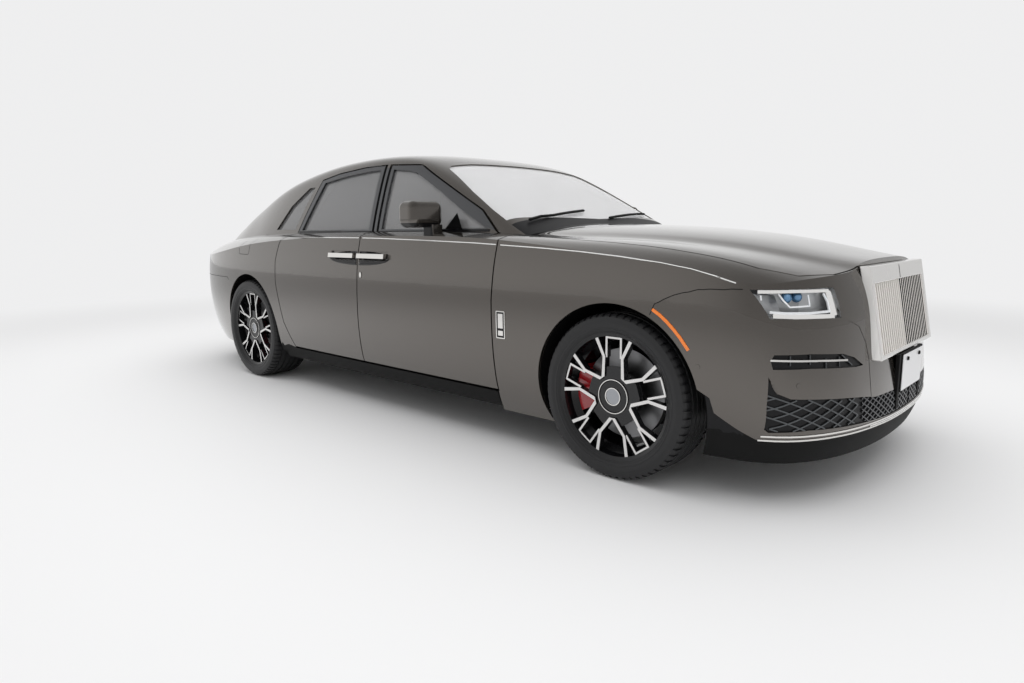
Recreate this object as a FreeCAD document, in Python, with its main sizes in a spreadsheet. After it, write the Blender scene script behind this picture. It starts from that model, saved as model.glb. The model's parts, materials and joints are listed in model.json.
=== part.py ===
import FreeCAD, Part
import math
import os
import Sketcher

Vector = FreeCAD.Vector
doc = FreeCAD.newDocument("saloon")

# Driving sizes in millimetres
SIZES = (
    ("overall_length", "5546"),
    ("body_width", "1978"),
    ("overall_height", "1571"),
    ("wheel_base", "3295"),
    ("front_overhang", "925"),
    ("tyre_radius", "366"),
    ("tyre_width", "255"),
    ("rear_tyre_width", "285"),
    ("rim_radius", "284"),
    ("wheel_face", "955"),
    ("arch_radius", "410"),
    ("panel_gap", "8"),
    ("skin_thick", "18"),
    ("door_depth", "130"),
    ("lid_depth", "34"),
    ("frame_depth", "42"),
    ("pillar_width", "48"),
    ("glass_thick", "6"),
    ("sheet_steel", "6"),
    ("floor_thick", "30"),
    ("hub_radius", "70"),
    ("disc_radius", "200"),
    ("disc_thick", "34"),
    ("kingpin_inset", "62"),
    ("kingpin_radius", "14"),
    ("bore_radius", "26.05"),
    ("stub_radius", "26"),
    ("mirror_reach", "1074"),
    ("steering_radius", "185"),
    ("grip_radius", "15"),
    ("pipe_radius", "32"),
    ("jack_pad", "70"),
    ("plate_hole", "6"),
)
sheet = doc.addObject("Spreadsheet::Sheet", "sizes")
for place, (name, value) in enumerate(SIZES):
    cell = "A%d" % (place + 1)
    sheet.set(cell, value)
    sheet.setAlias(cell, name)
doc.recompute()


def size(name):
    return float(sheet.get(name))


LENGTH = size("overall_length")
HALF = size("body_width") / 2
HEIGHT = size("overall_height")
BASE = size("wheel_base")
FRONT = size("front_overhang")
REAR = LENGTH - BASE - FRONT
GAP = size("panel_gap")
AXLE = size("tyre_radius")
FRONT_AXLE = LENGTH / 2 - FRONT
REAR_AXLE = FRONT_AXLE - BASE


# A run is -1 at the nose, 0 at the front axle, 1 at the rear axle and 2 at the tail
def along(run):
    if run < 0:
        return FRONT_AXLE - run * FRONT
    if run <= 1:
        return FRONT_AXLE - run * BASE
    return REAR_AXLE - (run - 1) * REAR


def high(share):
    return share * HEIGHT


def wide(share):
    return share * HALF


# Plan outline: run, share of the half width, weight of the nose lean and of the tail lean
PLAN_SHARES = (
    (-1.011, 0.0, 1.0, 0),
    (-1.011, 0.21, 1.0, 0),
    (-0.978, 0.45, 0.95, 0),
    (-0.92, 0.65, 0.85, 0),
    (-0.825, 0.82, 0.7, 0),
    (-0.705, 0.915, 0.45, 0),
    (-0.55, 0.962, 0.25, 0),
    (-0.28, 0.987, 0.1, 0),
    (0.08, 0.996, 0, 0),
    (0.36, 1.0, 0, 0),
    (0.66, 1.0, 0, 0),
    (0.90, 0.996, 0, 0),
    (1.10, 0.985, 0, 0.1),
    (1.40, 0.955, 0, 0.3),
    (1.66, 0.895, 0, 0.5),
    (1.85, 0.79, 0, 0.7),
    (1.96, 0.60, 0, 0.9),
    (2.002, 0.30, 0, 1),
    (2.003, 0, 0, 1),
)
# Levels of the side: height, width, nose lean and tail lean
LEVEL_SHARES = (
    (0.10, 0.900, -0.07, 0.14),
    (0.165, 0.955, -0.01, 0.07),
    (0.25, 0.985, -0.02, 0.03),
    (0.37, 1.0, -0.05, 0.0),
    (0.48, 0.999, -0.065, 0.005),
    (0.545, 0.992, -0.10, 0.02),
    (0.61, 0.980, -0.15, 0.05),
    (0.67, 0.955, -0.21, 0.09),
    (0.76, 0.925, -0.31, 0.14),
)
# Deck over the wings, bonnet and boot: run, then width and height of nine poles across
DECK_SHARES = (
    (-1.25, ((0, 0.545), (0.19, 0.545), (0.32, 0.543), (0.385, 0.538), (0.45, 0.53),
             (0.62, 0.52), (0.80, 0.50), (0.89, 0.47), (1.08, 0.38))),
    (-1.03, ((0, 0.584), (0.19, 0.584), (0.32, 0.577), (0.385, 0.568), (0.45, 0.556),
             (0.62, 0.542), (0.80, 0.515), (0.89, 0.48), (1.08, 0.39))),
    (-0.87, ((0, 0.601), (0.19, 0.601), (0.32, 0.595), (0.385, 0.587), (0.45, 0.576),
             (0.64, 0.564), (0.80, 0.537), (0.89, 0.505), (1.08, 0.42))),
    (-0.70, ((0, 0.618), (0.20, 0.618), (0.345, 0.613), (0.415, 0.606), (0.475, 0.596),
             (0.66, 0.590), (0.82, 0.577), (0.90, 0.548), (1.08, 0.47))),
    (-0.50, ((0, 0.645), (0.21, 0.645), (0.38, 0.637), (0.45, 0.629), (0.51, 0.619),
             (0.68, 0.619), (0.83, 0.614), (0.925, 0.590), (1.10, 0.52))),
    (-0.22, ((0, 0.674), (0.23, 0.674), (0.43, 0.664), (0.505, 0.654), (0.57, 0.645),
             (0.70, 0.647), (0.84, 0.642), (0.945, 0.618), (1.11, 0.56))),
    (0.045, ((0, 0.696), (0.25, 0.696), (0.48, 0.682), (0.565, 0.671), (0.63, 0.662),
             (0.72, 0.662), (0.85, 0.658), (0.958, 0.638), (1.11, 0.58))),
    (0.15, ((0, 0.706), (0.27, 0.706), (0.53, 0.688), (0.625, 0.674), (0.69, 0.664),
            (0.76, 0.666), (0.86, 0.668), (0.966, 0.655), (1.11, 0.61))),
    (0.26, ((0, 0.712), (0.28, 0.712), (0.55, 0.694), (0.66, 0.684), (0.72, 0.680),
            (0.80, 0.682), (0.87, 0.684), (0.966, 0.670), (1.11, 0.63))),
    (0.40, ((0, 0.712), (0.28, 0.712), (0.55, 0.697), (0.66, 0.692), (0.72, 0.690),
            (0.80, 0.690), (0.87, 0.690), (0.966, 0.674), (1.11, 0.63))),
    (0.60, ((0, 0.712), (0.28, 0.712), (0.55, 0.700), (0.66, 0.697), (0.72, 0.695),
            (0.80, 0.693), (0.87, 0.690), (0.966, 0.672), (1.11, 0.625))),
    (0.85, ((0, 0.710), (0.28, 0.710), (0.55, 0.702), (0.66, 0.699), (0.72, 0.696),
            (0.80, 0.691), (0.87, 0.683), (0.96, 0.660), (1.11, 0.60))),
    (1.0, ((0, 0.706), (0.28, 0.706), (0.55, 0.698), (0.66, 0.694), (0.72, 0.690),
           (0.80, 0.681), (0.86, 0.669), (0.95, 0.641), (1.11, 0.57))),
    (1.25, ((0, 0.700), (0.28, 0.700), (0.55, 0.690), (0.66, 0.684), (0.72, 0.677),
            (0.79, 0.664), (0.85, 0.650), (0.93, 0.618), (1.11, 0.54))),
    (1.53, ((0, 0.690), (0.28, 0.690), (0.50, 0.678), (0.60, 0.670), (0.68, 0.660),
            (0.75, 0.645), (0.81, 0.628), (0.89, 0.592), (1.11, 0.49))),
    (1.80, ((0, 0.668), (0.25, 0.668), (0.45, 0.656), (0.55, 0.648), (0.62, 0.637),
            (0.69, 0.620), (0.76, 0.598), (0.84, 0.556), (1.10, 0.43))),
    (1.97, ((0, 0.640), (0.23, 0.640), (0.42, 0.626), (0.51, 0.616), (0.58, 0.603),
            (0.65, 0.584), (0.72, 0.56), (0.80, 0.52), (1.08, 0.40))),
    (2.20, ((0, 0.58), (0.23, 0.58), (0.42, 0.566), (0.51, 0.556), (0.58, 0.543),
            (0.65, 0.524), (0.72, 0.50), (0.80, 0.46), (1.06, 0.35))),
)
# Glasshouse: run, centre height, shoulder height, shoulder width, foot width
GREEN_SHARES = (
    (0.10, 0.60, 0.575, 0.74, 0.895),
    (0.165, 0.655, 0.625, 0.745, 0.895),
    (0.235, 0.726, 0.706, 0.745, 0.895),
    (0.33, 0.840, 0.818, 0.72, 0.893),
    (0.43, 0.946, 0.924, 0.70, 0.893),
    (0.50, 0.992, 0.968, 0.695, 0.893),
    (0.60, 1.004, 0.980, 0.70, 0.893),
    (0.71, 1.002, 0.974, 0.695, 0.892),
    (0.80, 0.990, 0.957, 0.69, 0.888),
    (0.93, 0.958, 0.915, 0.68, 0.878),
    (1.057, 0.904, 0.860, 0.665, 0.862),
    (1.20, 0.862, 0.818, 0.65, 0.84),
    (1.38, 0.805, 0.765, 0.64, 0.815),
    (1.52, 0.750, 0.715, 0.63, 0.79),
    (1.64, 0.695, 0.672, 0.63, 0.77),
    (1.80, 0.60, 0.58, 0.63, 0.75),
)
GREEN_FOOT_SHARE = 0.53


def surface(rows):
    count_u = len(rows)
    count_v = len(rows[0])
    poles = [[Vector(*point) for point in row] for row in rows]
    degree = 3

    def knots(count):
        inner = count - degree - 1
        marks = [float(i) for i in range(inner + 2)]
        mults = [degree + 1] + [1] * inner + [degree + 1]
        return marks, mults

    knots_u, mults_u = knots(count_u)
    knots_v, mults_v = knots(count_v)
    made = Part.BSplineSurface()
    made.buildFromPolesMultsKnots(
        poles, mults_u, mults_v, knots_u, knots_v, False, False, degree, degree)
    return made.toShape()


# Moves a row of plan points inwards by a wall's thickness
def inset_plan(row, thick):
    moved = []
    last = len(row) - 1
    for place, (x, y, z) in enumerate(row):
        if place == 0:
            moved.append((x - thick, 0.0, z))
            continue
        if place == last:
            moved.append((x + thick, 0.0, z))
            continue
        before = row[place - 1]
        after = row[place + 1]
        dx = after[0] - before[0]
        dy = after[1] - before[1]
        step = math.hypot(dx, dy)
        moved.append((x - dy / step * thick, max(0.0, y + dx / step * thick), z))
    return moved


def wall_rows(thick):
    rows = []
    for height_share, width_share, nose, tail in LEVEL_SHARES:
        row = []
        for run, out_share, nose_weight, tail_weight in PLAN_SHARES:
            x = along(run) + nose * FRONT * nose_weight + tail * REAR * tail_weight
            row.append((x, wide(out_share * width_share), high(height_share)))
        if thick:
            row = inset_plan(row, thick)
        rows.append(row)
    return rows


# Closes the side surface of one half into a solid
def wall_solid(thick):
    face = surface(wall_rows(thick))
    flat = HEIGHT / 1000
    ends = [edge for edge in face.Edges if edge.BoundBox.ZLength < flat]
    rises = [edge for edge in face.Edges if edge.BoundBox.ZLength >= flat]
    faces = [face]
    lines = []
    for edge in ends:
        start = edge.valueAt(edge.FirstParameter)
        stop = edge.valueAt(edge.LastParameter)
        line = Part.makeLine(stop, start)
        lines.append(line)
        faces.append(Part.Face(Part.Wire(Part.__sortEdges__([edge, line]))))
    faces.append(Part.Face(Part.Wire(Part.__sortEdges__(rises + lines))))
    shell = Part.makeShell(faces)
    shell.sewShape()
    return Part.makeSolid(shell)


def deck_solid(drop):
    rows = []
    for run, across in DECK_SHARES:
        rows.append([(along(run), wide(out), high(up) - drop) for out, up in across])
    face = surface(rows)
    return face.extrude(Vector(0, 0, -HEIGHT))


def green_section(centre, shoulder, out, foot):
    base = GREEN_FOOT_SHARE
    rise = shoulder - base
    low = foot - out
    return [
        (foot, base),
        (foot - low * 0.16, base + rise * 0.30),
        (foot - low * 0.48, base + rise * 0.62),
        (foot - low * 0.80, base + rise * 0.885),
        (out, shoulder),
        (out * 0.78, shoulder + (centre - shoulder) * 0.65),
        (out * 0.40, centre),
        (0.0, centre),
    ]


def inset_section(points, thick):
    moved = []
    last = len(points) - 1
    for place, (y, z) in enumerate(points):
        if place == last:
            moved.append((0.0, z - thick))
            continue
        before = points[max(place - 1, 0)]
        after = points[place + 1]
        dy = after[0] - before[0]
        dz = after[1] - before[1]
        step = math.hypot(dy, dz)
        drop = 0.0 if place == 0 else dy / step * thick
        moved.append((y - dz / step * thick, z + drop))
    return moved


def green_solid(thick):
    rows = []
    for run, centre, shoulder, out, foot in GREEN_SHARES:
        points = [(wide(y), high(z)) for y, z in green_section(centre, shoulder, out, foot)]
        if thick:
            points = inset_section(points, thick)
        rows.append([(along(run), y, z) for y, z in points])
    face = surface(rows)
    return face.extrude(Vector(0, 0, -HEIGHT / 4))


made_solids = {}


# One half of the body below the waist, moved inwards by a thickness
def lower(thick):
    key = ("lower", thick)
    if key not in made_solids:
        made_solids[key] = wall_solid(thick).common(deck_solid(thick))
    return made_solids[key]


# One half of the glasshouse, moved inwards by a thickness
def upper(thick):
    key = ("upper", thick)
    if key not in made_solids:
        made_solids[key] = green_solid(thick)
    return made_solids[key]


def face_of(points):
    return Part.Face(Part.makePolygon(list(points) + [points[0]]))


# Prism from an outline seen from the side, given as runs and height shares
def side_prism(points, low_y, high_y, shrink=0):
    face = face_of([Vector(along(run), low_y, high(share)) for run, share in points])
    if shrink:
        face = face.makeOffset2D(-shrink, 2)
    return face.extrude(Vector(0, high_y - low_y, 0))


# Prism from an outline seen from above, given as runs and width shares
def top_prism(points, low_z, high_z, shrink=0):
    face = face_of([Vector(along(run), wide(share), low_z) for run, share in points])
    if shrink:
        face = face.makeOffset2D(-shrink, 2)
    return face.extrude(Vector(0, 0, high_z - low_z))


# Prism from an outline seen from the front, given as width and height shares
def front_prism(points, low_x, high_x, shrink=0):
    face = face_of([Vector(low_x, wide(out), high(up)) for out, up in points])
    if shrink:
        face = face.makeOffset2D(-shrink, 2)
    return face.extrude(Vector(high_x - low_x, 0, 0))


def block(x0, x1, y0, y1, z0, z1):
    return Part.makeBox(x1 - x0, y1 - y0, z1 - z0, Vector(x0, y0, z0))


def cylinder_y(x, z, radius, y0, y1):
    return Part.makeCylinder(radius, y1 - y0, Vector(x, y0, z), Vector(0, 1, 0))


def mirrored(shape):
    return shape.mirror(Vector(0, 0, 0), Vector(0, 1, 0))


def whole(shape):
    return shape.fuse(mirrored(shape))


# Largest solid of a cut, without slivers
def main_solid(shape):
    solids = sorted(shape.Solids, key=lambda one: -one.Volume)
    return solids[0]


# Cuts tools away one by one and keeps the largest solid each time
def carve(shape, *tools):
    made = main_solid(shape)
    for tool in tools:
        made = main_solid(made.cut(tool))
    return made


def pair(shape):
    return Part.makeCompound([shape, mirrored(shape)])


nodes = []


def keep_shape(label, shape, placement=FreeCAD.Placement()):
    item = doc.addObject("Part::Feature", label)
    item.Label = label
    item.Shape = shape
    item.Placement = placement
    nodes.append(item)
    return item


FAR = HALF * 1.2
TOP = HEIGHT * 1.2
SKIN = size("skin_thick")
DEPTH = size("door_depth")
FRAME = size("frame_depth")
LID = size("lid_depth")
GLASS = size("glass_thick")
ARCH = size("arch_radius")

# Door outlines seen from the side
B_RUN = 0.5575
FRONT_DOOR_SHARES = (
    (0.2050, 0.700), (0.2115, 0.475), (0.2100, 0.184), (0.5620, 0.184), (B_RUN, 0.50),
    (B_RUN, 0.944), (0.4680, 0.933), (0.2450, 0.700),
)
REAR_DOOR_SHARES = (
    (B_RUN, 0.944), (B_RUN, 0.50), (0.5620, 0.184), (0.8150, 0.184), (0.8430, 0.290),
    (0.8640, 0.470), (0.8640, 0.560), (0.8540, 0.635), (0.8390, 0.694), (0.7840, 0.911),
    (0.7200, 0.931), (0.6300, 0.944),
)
FRONT_WINDOW_SHARES = (
    (0.2780, 0.696), (0.5390, 0.696), (0.5390, 0.924), (0.4940, 0.914), (0.4720, 0.903),
    (0.4030, 0.831), (0.3360, 0.753),
)
REAR_WINDOW_SHARES = (
    (0.5780, 0.696), (0.8250, 0.696), (0.7700, 0.898), (0.6850, 0.917), (0.6080, 0.926),
    (0.5780, 0.926),
)
QUARTER_WINDOW_SHARES = (
    (0.8560, 0.700), (0.9460, 0.700), (0.8980, 0.806), (0.8340, 0.882), (0.8090, 0.884),
)
WAIST_SHARE = 0.66
SILL_TOP_SHARE = 0.178


def shaft(run, half_width, z0, z1, y0, y1):
    return block(along(run) - half_width, along(run) + half_width, y0, y1, high(z0), high(z1))


POST = size("pillar_width") / 2
STRIP = POST / 2
SET_BACK = POST + GAP * 2.6
FRAME_BACK = STRIP + GAP * 2.8


# Inner limit of the door frames seen from above, clear of the windscreen and roof
DOOR_ZONE_SHARES = (
    (0.18, 0.84), (0.262, 0.790), (0.36, 0.705), (0.47, 0.630), (0.56, 0.650), (0.80, 0.640),
    (0.92, 0.62), (0.92, 1.2), (0.18, 1.2),
)
door_zone = top_prism(DOOR_ZONE_SHARES, 0, TOP)
door_zone_room = top_prism(DOOR_ZONE_SHARES, 0, TOP, -GAP)


def door(points, b_side):
    full = side_prism(points, HALF / 2, FAR, GAP / 2).common(door_zone)
    small = side_prism(points, 0, FAR, SET_BACK)
    rim = lower(SKIN).cut(small)
    low = lower(0).common(full).cut(lower(DEPTH)).cut(rim).cut(upper(FRAME))
    low = low.cut(shaft(B_RUN, STRIP + GAP * 2, 0.60, 0.80, 0, wide(0.92)))
    high_part = upper(0).common(full).cut(upper(FRAME))
    high_part = high_part.cut(block(along(2), along(-1), 0, FAR, 0, high(WAIST_SHARE)))
    b_face = along(B_RUN)
    if b_side > 0:
        high_part = high_part.cut(block(
            b_face - FAR, b_face + FRAME_BACK, 0, FAR, high(WAIST_SHARE) - GAP, TOP))
    else:
        high_part = high_part.cut(block(
            b_face - FRAME_BACK, b_face + FAR, 0, FAR, high(WAIST_SHARE) - GAP, TOP))
    return low, high_part


front_window = side_prism(FRONT_WINDOW_SHARES, 0, FAR)
rear_window_side = side_prism(REAR_WINDOW_SHARES, 0, FAR)
quarter_window = side_prism(QUARTER_WINDOW_SHARES, 0, FAR)
PANE_SET = FRAME * 0.35
pane_shell = upper(PANE_SET).cut(upper(PANE_SET + GLASS))


def pane(prism):
    return main_solid(pane_shell.common(prism).common(door_zone))


front_low, front_high = door(FRONT_DOOR_SHARES, 1)
rear_low, rear_high = door(REAR_DOOR_SHARES, -1)
front_door = main_solid(front_low.fuse(front_high.cut(front_window)))
rear_door = main_solid(rear_low.fuse(rear_high.cut(rear_window_side)))

# Door handles that meet at the middle post, each in a shallow cup
HANDLE_SHARES = (0.590, 0.607)
HANDLE_NEAR = GAP * 2.5
HANDLE_FAR = GAP * 36
HANDLE_OUT = GAP * 3.4
CUP = SKIN * 0.55


def handle_parts(direction):
    seam = along(B_RUN)
    ends = sorted((seam + direction * HANDLE_NEAR, seam + direction * HANDLE_FAR))
    low, top = high(HANDLE_SHARES[0]), high(HANDLE_SHARES[1])
    bar = lower(-HANDLE_OUT).cut(lower(-HANDLE_OUT / 2))
    bar = bar.common(block(ends[0], ends[1], HALF / 2, FAR, low, top))
    foot = lower(-HANDLE_OUT * 0.7).cut(lower(CUP))
    feet = foot.common(block(ends[0], ends[0] + GAP * 3, HALF / 2, FAR, low, top))
    feet = feet.fuse(foot.common(block(ends[1] - GAP * 3, ends[1], HALF / 2, FAR, low, top)))
    cup = lower(0).cut(lower(CUP)).common(block(
        ends[0] - GAP / 2, ends[1] + GAP, HALF / 2, FAR, low - GAP * 1.5, top + GAP * 1.5))
    return main_solid(bar.fuse(feet)), cup


front_handle, front_cup = handle_parts(1)
rear_handle, rear_cup = handle_parts(-1)
front_door = main_solid(front_door.cut(front_cup))
rear_door = main_solid(rear_door.cut(rear_cup))
keep_shape("front_door_left", front_door)
keep_shape("front_door_right", mirrored(front_door))
keep_shape("rear_door_left", rear_door)
keep_shape("rear_door_right", mirrored(rear_door))
keep_shape("front_handle_left", front_handle)
keep_shape("front_handle_right", mirrored(front_handle))
keep_shape("rear_handle_left", rear_handle)
keep_shape("rear_handle_right", mirrored(rear_handle))

# Door mirrors on stalks that stand on the shoulder
MIRROR_SHARES = (0.3560, 0.3990, 0.700, 0.790)
mirror_ends = (along(MIRROR_SHARES[1]), along(MIRROR_SHARES[0]))
mirror_levels = (high(MIRROR_SHARES[2]), high(MIRROR_SHARES[3]))
mirror_tip = size("mirror_reach")
shell = block(mirror_ends[0], mirror_ends[1], wide(0.862), mirror_tip,
              mirror_levels[0], mirror_levels[1])
shell = shell.makeFillet(GAP * 5.5, shell.Edges)
stalk = block(mirror_ends[0] + GAP * 7, mirror_ends[1] - GAP, wide(0.868), wide(0.950),
              high(0.655), mirror_levels[0] + GAP * 2)
stalk = stalk.makeFillet(GAP * 1.5, [edge for edge in stalk.Edges if edge.BoundBox.ZLength > GAP])
mirror = main_solid(shell.fuse(stalk).cut(front_door))
keep_shape("door_mirror_left", mirror)
keep_shape("door_mirror_right", mirrored(mirror))
front_pane = pane(front_window)
rear_pane = pane(rear_window_side)
keep_shape("front_door_window_left", front_pane)
keep_shape("front_door_window_right", mirrored(front_pane))
keep_shape("rear_door_window_left", rear_pane)
keep_shape("rear_door_window_right", mirrored(rear_pane))

# Openings in the roof and the deck seen from above
SCREEN_SHARES = (
    (0.232, -0.2), (0.232, 0.0), (0.240, 0.40), (0.252, 0.735), (0.283, 0.728),
    (0.338, 0.700), (0.420, 0.632), (0.430, 0.585), (0.436, 0.40), (0.438, 0.0), (0.438, -0.2),
)
BACKLIGHT_SHARES = (
    (0.935, -0.2), (0.935, 0.40), (0.955, 0.50), (1.570, 0.55), (1.625, 0.50), (1.625, -0.2),
)
ROOF_SHARES = (
    (0.450, -0.2), (0.449, 0.40), (0.446, 0.545), (0.50, 0.574), (0.56, 0.585), (0.74, 0.580),
    (0.915, 0.545),
    (0.915, -0.2),
)
HOOD_SHARES = (
    (-0.845, -0.2), (-0.845, 0.20), (-0.842, 0.42), (-0.818, 0.58), (-0.735, 0.735),
    (-0.600, 0.800), (-0.30, 0.825), (0.10, 0.835), (0.196, 0.835), (0.204, 0.78),
    (0.196, 0.40), (0.188, 0.0), (0.188, -0.2),
)
COWL_SHARES = (
    (0.191, -0.2), (0.191, 0.0), (0.199, 0.40), (0.207, 0.78), (0.2065, 0.835), (0.262, 0.835),
    (0.262, 0.74), (0.240, 0.74), (0.240, 0.40), (0.232, 0.0), (0.232, -0.2),
)
LID_SHARES = ((-0.2, 0.478), (0.58, 0.478), (0.655, 0.60), (0.655, 0.80), (-0.2, 0.80))
LID_RUN = 1.655
screen_prism = top_prism(SCREEN_SHARES, high(0.6), TOP)
backlight_prism = top_prism(BACKLIGHT_SHARES, high(0.6), TOP)
roof_prism = top_prism(ROOF_SHARES, high(0.8), TOP)
hood_prism = top_prism(HOOD_SHARES, high(0.45), TOP)
hood_column = top_prism(HOOD_SHARES, high(0.45), TOP, -GAP)
hood_room = hood_column.cut(deck_solid(LID + GAP))
cowl_prism = top_prism(COWL_SHARES, high(0.6), TOP)
lid_room = front_prism(LID_SHARES, along(2.1), along(LID_RUN))
lid_prism = front_prism(LID_SHARES, along(2.1), along(LID_RUN) - GAP, GAP)

green_shell = upper(0).cut(upper(FRAME))
roof_half = upper(0).cut(upper(FRAME * 0.8)).common(roof_prism)
roof_half = roof_half.common(block(along(2), along(0), 0, FAR, 0, TOP))
keep_shape("roof_panel", whole(main_solid(roof_half)))
glass_shell = upper(FRAME * 0.2).cut(upper(FRAME * 0.2 + GLASS))
screen_half = main_solid(glass_shell.common(screen_prism))
keep_shape("windscreen", whole(screen_half))
backlight_half = main_solid(glass_shell.common(backlight_prism))
keep_shape("rear_window", whole(backlight_half))
quarter_pane = main_solid(pane_shell.common(quarter_window))
keep_shape("quarter_windows", pair(quarter_pane))

hood_half = lower(0).common(hood_prism).cut(deck_solid(LID))
keep_shape("hood", whole(main_solid(hood_half)))
lid_half = lower(0).common(lid_prism).cut(lower(LID))
lid_half = lid_half.cut(upper(0))
keep_shape("boot_lid", whole(main_solid(lid_half)))

HEADLAMP_SHARES = ((0.607, 0.472), (0.886, 0.478), (0.916, 0.546), (0.620, 0.545))
TAIL_SHARES = ((0.70, 0.520), (0.96, 0.520), (0.96, 0.622), (0.70, 0.622))
lamp_prism = front_prism(HEADLAMP_SHARES, along(-0.45), along(-1.2))
tail_prism = front_prism(TAIL_SHARES, along(2.1), along(1.74))
LAMP_DEPTH = DEPTH * 0.7
headlamp = main_solid(lower(0).common(lamp_prism).cut(lower(LAMP_DEPTH)).cut(hood_column))
keep_shape("headlamps", pair(headlamp))
tail_lamp = main_solid(lower(0).common(tail_prism).cut(lower(LAMP_DEPTH)))
keep_shape("tail_lamps", pair(tail_lamp))

front_arch = cylinder_y(FRONT_AXLE, AXLE, ARCH, 0, FAR)
rear_arch = cylinder_y(REAR_AXLE, AXLE, ARCH, 0, FAR)
front_room = side_prism(FRONT_DOOR_SHARES, 0, FAR, -GAP / 2).common(door_zone_room)
rear_room = side_prism(REAR_DOOR_SHARES, 0, FAR, -GAP / 2).common(door_zone_room)

# Front wing, from the door back to the lamp, above the bumper's seam
WING_SHARES = (
    (0.214, 0.75), (0.2115, 0.475), (0.2100, 0.184), (0.212, 0.112), (0.08, 0.112),
    (-0.10, 0.30), (-0.225, 0.500), (-0.324, 0.528), (-0.432, 0.543), (-0.60, 0.547),
    (-0.95, 0.548), (-0.95, 0.75),
)
wing_prism = side_prism(WING_SHARES, 0, FAR)
NOSE_HALF = 0.612
nose_side = block(along(-0.45), along(-1.2), 0, wide(NOSE_HALF), 0, TOP)
cowl_side = block(along(0.30), along(0.199), 0, wide(0.835), 0, TOP)
wing = carve(lower(0).common(wing_prism), lower(SKIN), front_arch, hood_column, front_room,
             lamp_prism, nose_side, cowl_side)
cowl_middle = cowl_prism.common(block(along(1), along(0), 0, wide(0.74), 0, TOP))
cowl = lower(0).common(cowl_middle).fuse(upper(0).common(cowl_middle))
cowl = cowl.cut(lower(SKIN)).cut(upper(SKIN)).cut(front_room)
cowl_end = cowl_prism.common(block(along(1), along(0), wide(0.74), wide(0.86), 0, TOP))
cowl_end = lower(0).common(cowl_end).cut(lower(SKIN)).cut(upper(0)).cut(front_room)
cowl = main_solid(cowl.fuse(cowl_end))
keep_shape("cowl_panel", whole(cowl))

GRILLE_HALF = 0.405
# Slab that leans back as the grille does
GRILLE_LOW = 0.352
GRILLE_TOP = 0.590
LEAN_SHARE = 0.075
grille_x = along(-0.978)
FRAME_DEEP = GAP * 5


def grille_slab(half_share, low_share, top_share, front_step, depth):
    low = high(low_share)
    top = high(top_share)
    lean = LEAN_SHARE * FRONT
    x_low = grille_x + front_step
    x_top = x_low - lean * (top_share - low_share) / (GRILLE_TOP - GRILLE_LOW)
    face = face_of([
        Vector(x_low, 0, low), Vector(x_top, 0, top), Vector(x_top - depth, 0, top),
        Vector(x_low - depth, 0, low)])
    made = face.extrude(Vector(0, wide(half_share), 0))
    return whole(made)


# Front bumper with the openings that hold the grilles
GRILLE_SHARES = (
    (-0.2, 0.350), (GRILLE_HALF - 0.004, 0.350), (GRILLE_HALF, 0.575), (GRILLE_HALF, 0.70),
    (-0.2, 0.70),
)
LOWER_GRILLE_SHARES = (
    (-0.2, 0.195), (0.234, 0.195), (0.508, 0.200), (0.758, 0.205), (0.868, 0.201),
    (0.878, 0.209), (0.886, 0.270), (0.889, 0.340), (0.880, 0.328), (0.862, 0.298),
    (0.830, 0.286), (0.580, 0.273), (0.500, 0.268), (0.430, 0.262), (0.390, 0.258),
    (-0.2, 0.258),
)
SLOT_SHARES = (
    (0.886, 0.379), (0.878, 0.393), (0.760, 0.392), (0.606, 0.384), (0.536, 0.371),
    (0.475, 0.347), (0.528, 0.346), (0.762, 0.357), (0.880, 0.358),
)
NOSE_X = along(-0.55)
EDGE_SHARES = ((-0.66, 0.180), (-0.595, 0.202), (-0.502, 0.238), (-0.484, 0.276), (-0.42, 0.297))
LIP_SHARE = 0.178
BUMPER_SHARES = (
    (-0.10, 0.30), (-0.225, 0.500), (-0.324, 0.528), (-0.432, 0.543), (-0.60, 0.547),
    (-1.1, 0.548), (-1.1, LIP_SHARE), *EDGE_SHARES,
)
UNDERTRAY_SHARES = ((-0.42, 0.112), (-1.1, 0.112), (-1.1, LIP_SHARE), *EDGE_SHARES)
# Joint line of the bumper cover, from the lamp down to the lower grille
JOINT_SHARES = ((0.560, 0.462), (0.494, 0.445), (0.448, 0.402), (0.427, 0.357), (0.422, 0.262))
JOINT_WIDE_SHARE = 0.004
grille_prism = front_prism(GRILLE_SHARES, NOSE_X, along(-1.2))
low_grille_prism = front_prism(LOWER_GRILLE_SHARES, along(-0.4), along(-1.2))
slot_prism = front_prism(SLOT_SHARES, along(-0.4), along(-1.2))
bumper_prism = side_prism(BUMPER_SHARES, 0, FAR)
nose_block = block(NOSE_X, along(-1.2), 0, wide(NOSE_HALF), high(LIP_SHARE), TOP)
joint_back = [(out + JOINT_WIDE_SHARE, up) for out, up in reversed(JOINT_SHARES)]
joint = front_prism(list(JOINT_SHARES) + joint_back, NOSE_X, along(-1.2)).cut(lower(SKIN / 3))
nose_shell = lower(0).cut(lower(SKIN))
bumper = carve(nose_shell.common(bumper_prism.fuse(nose_block)), front_arch, hood_room,
               lamp_prism, grille_prism, low_grille_prism, slot_prism,
               grille_slab(GRILLE_HALF, GRILLE_LOW, GRILLE_TOP, 0, FRAME_DEEP), joint)
keep_shape("front_bumper", whole(main_solid(bumper)))
insert = lower(SKIN * 0.4).cut(lower(SKIN * 1.4))
low_insert = main_solid(insert.common(low_grille_prism))
slot_insert = main_solid(insert.common(slot_prism))
arch_clear = cylinder_y(FRONT_AXLE, AXLE, ARCH + GAP * 3, 0, FAR)
undertray = main_solid(insert.common(side_prism(UNDERTRAY_SHARES, 0, FAR)).cut(arch_clear))
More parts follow.
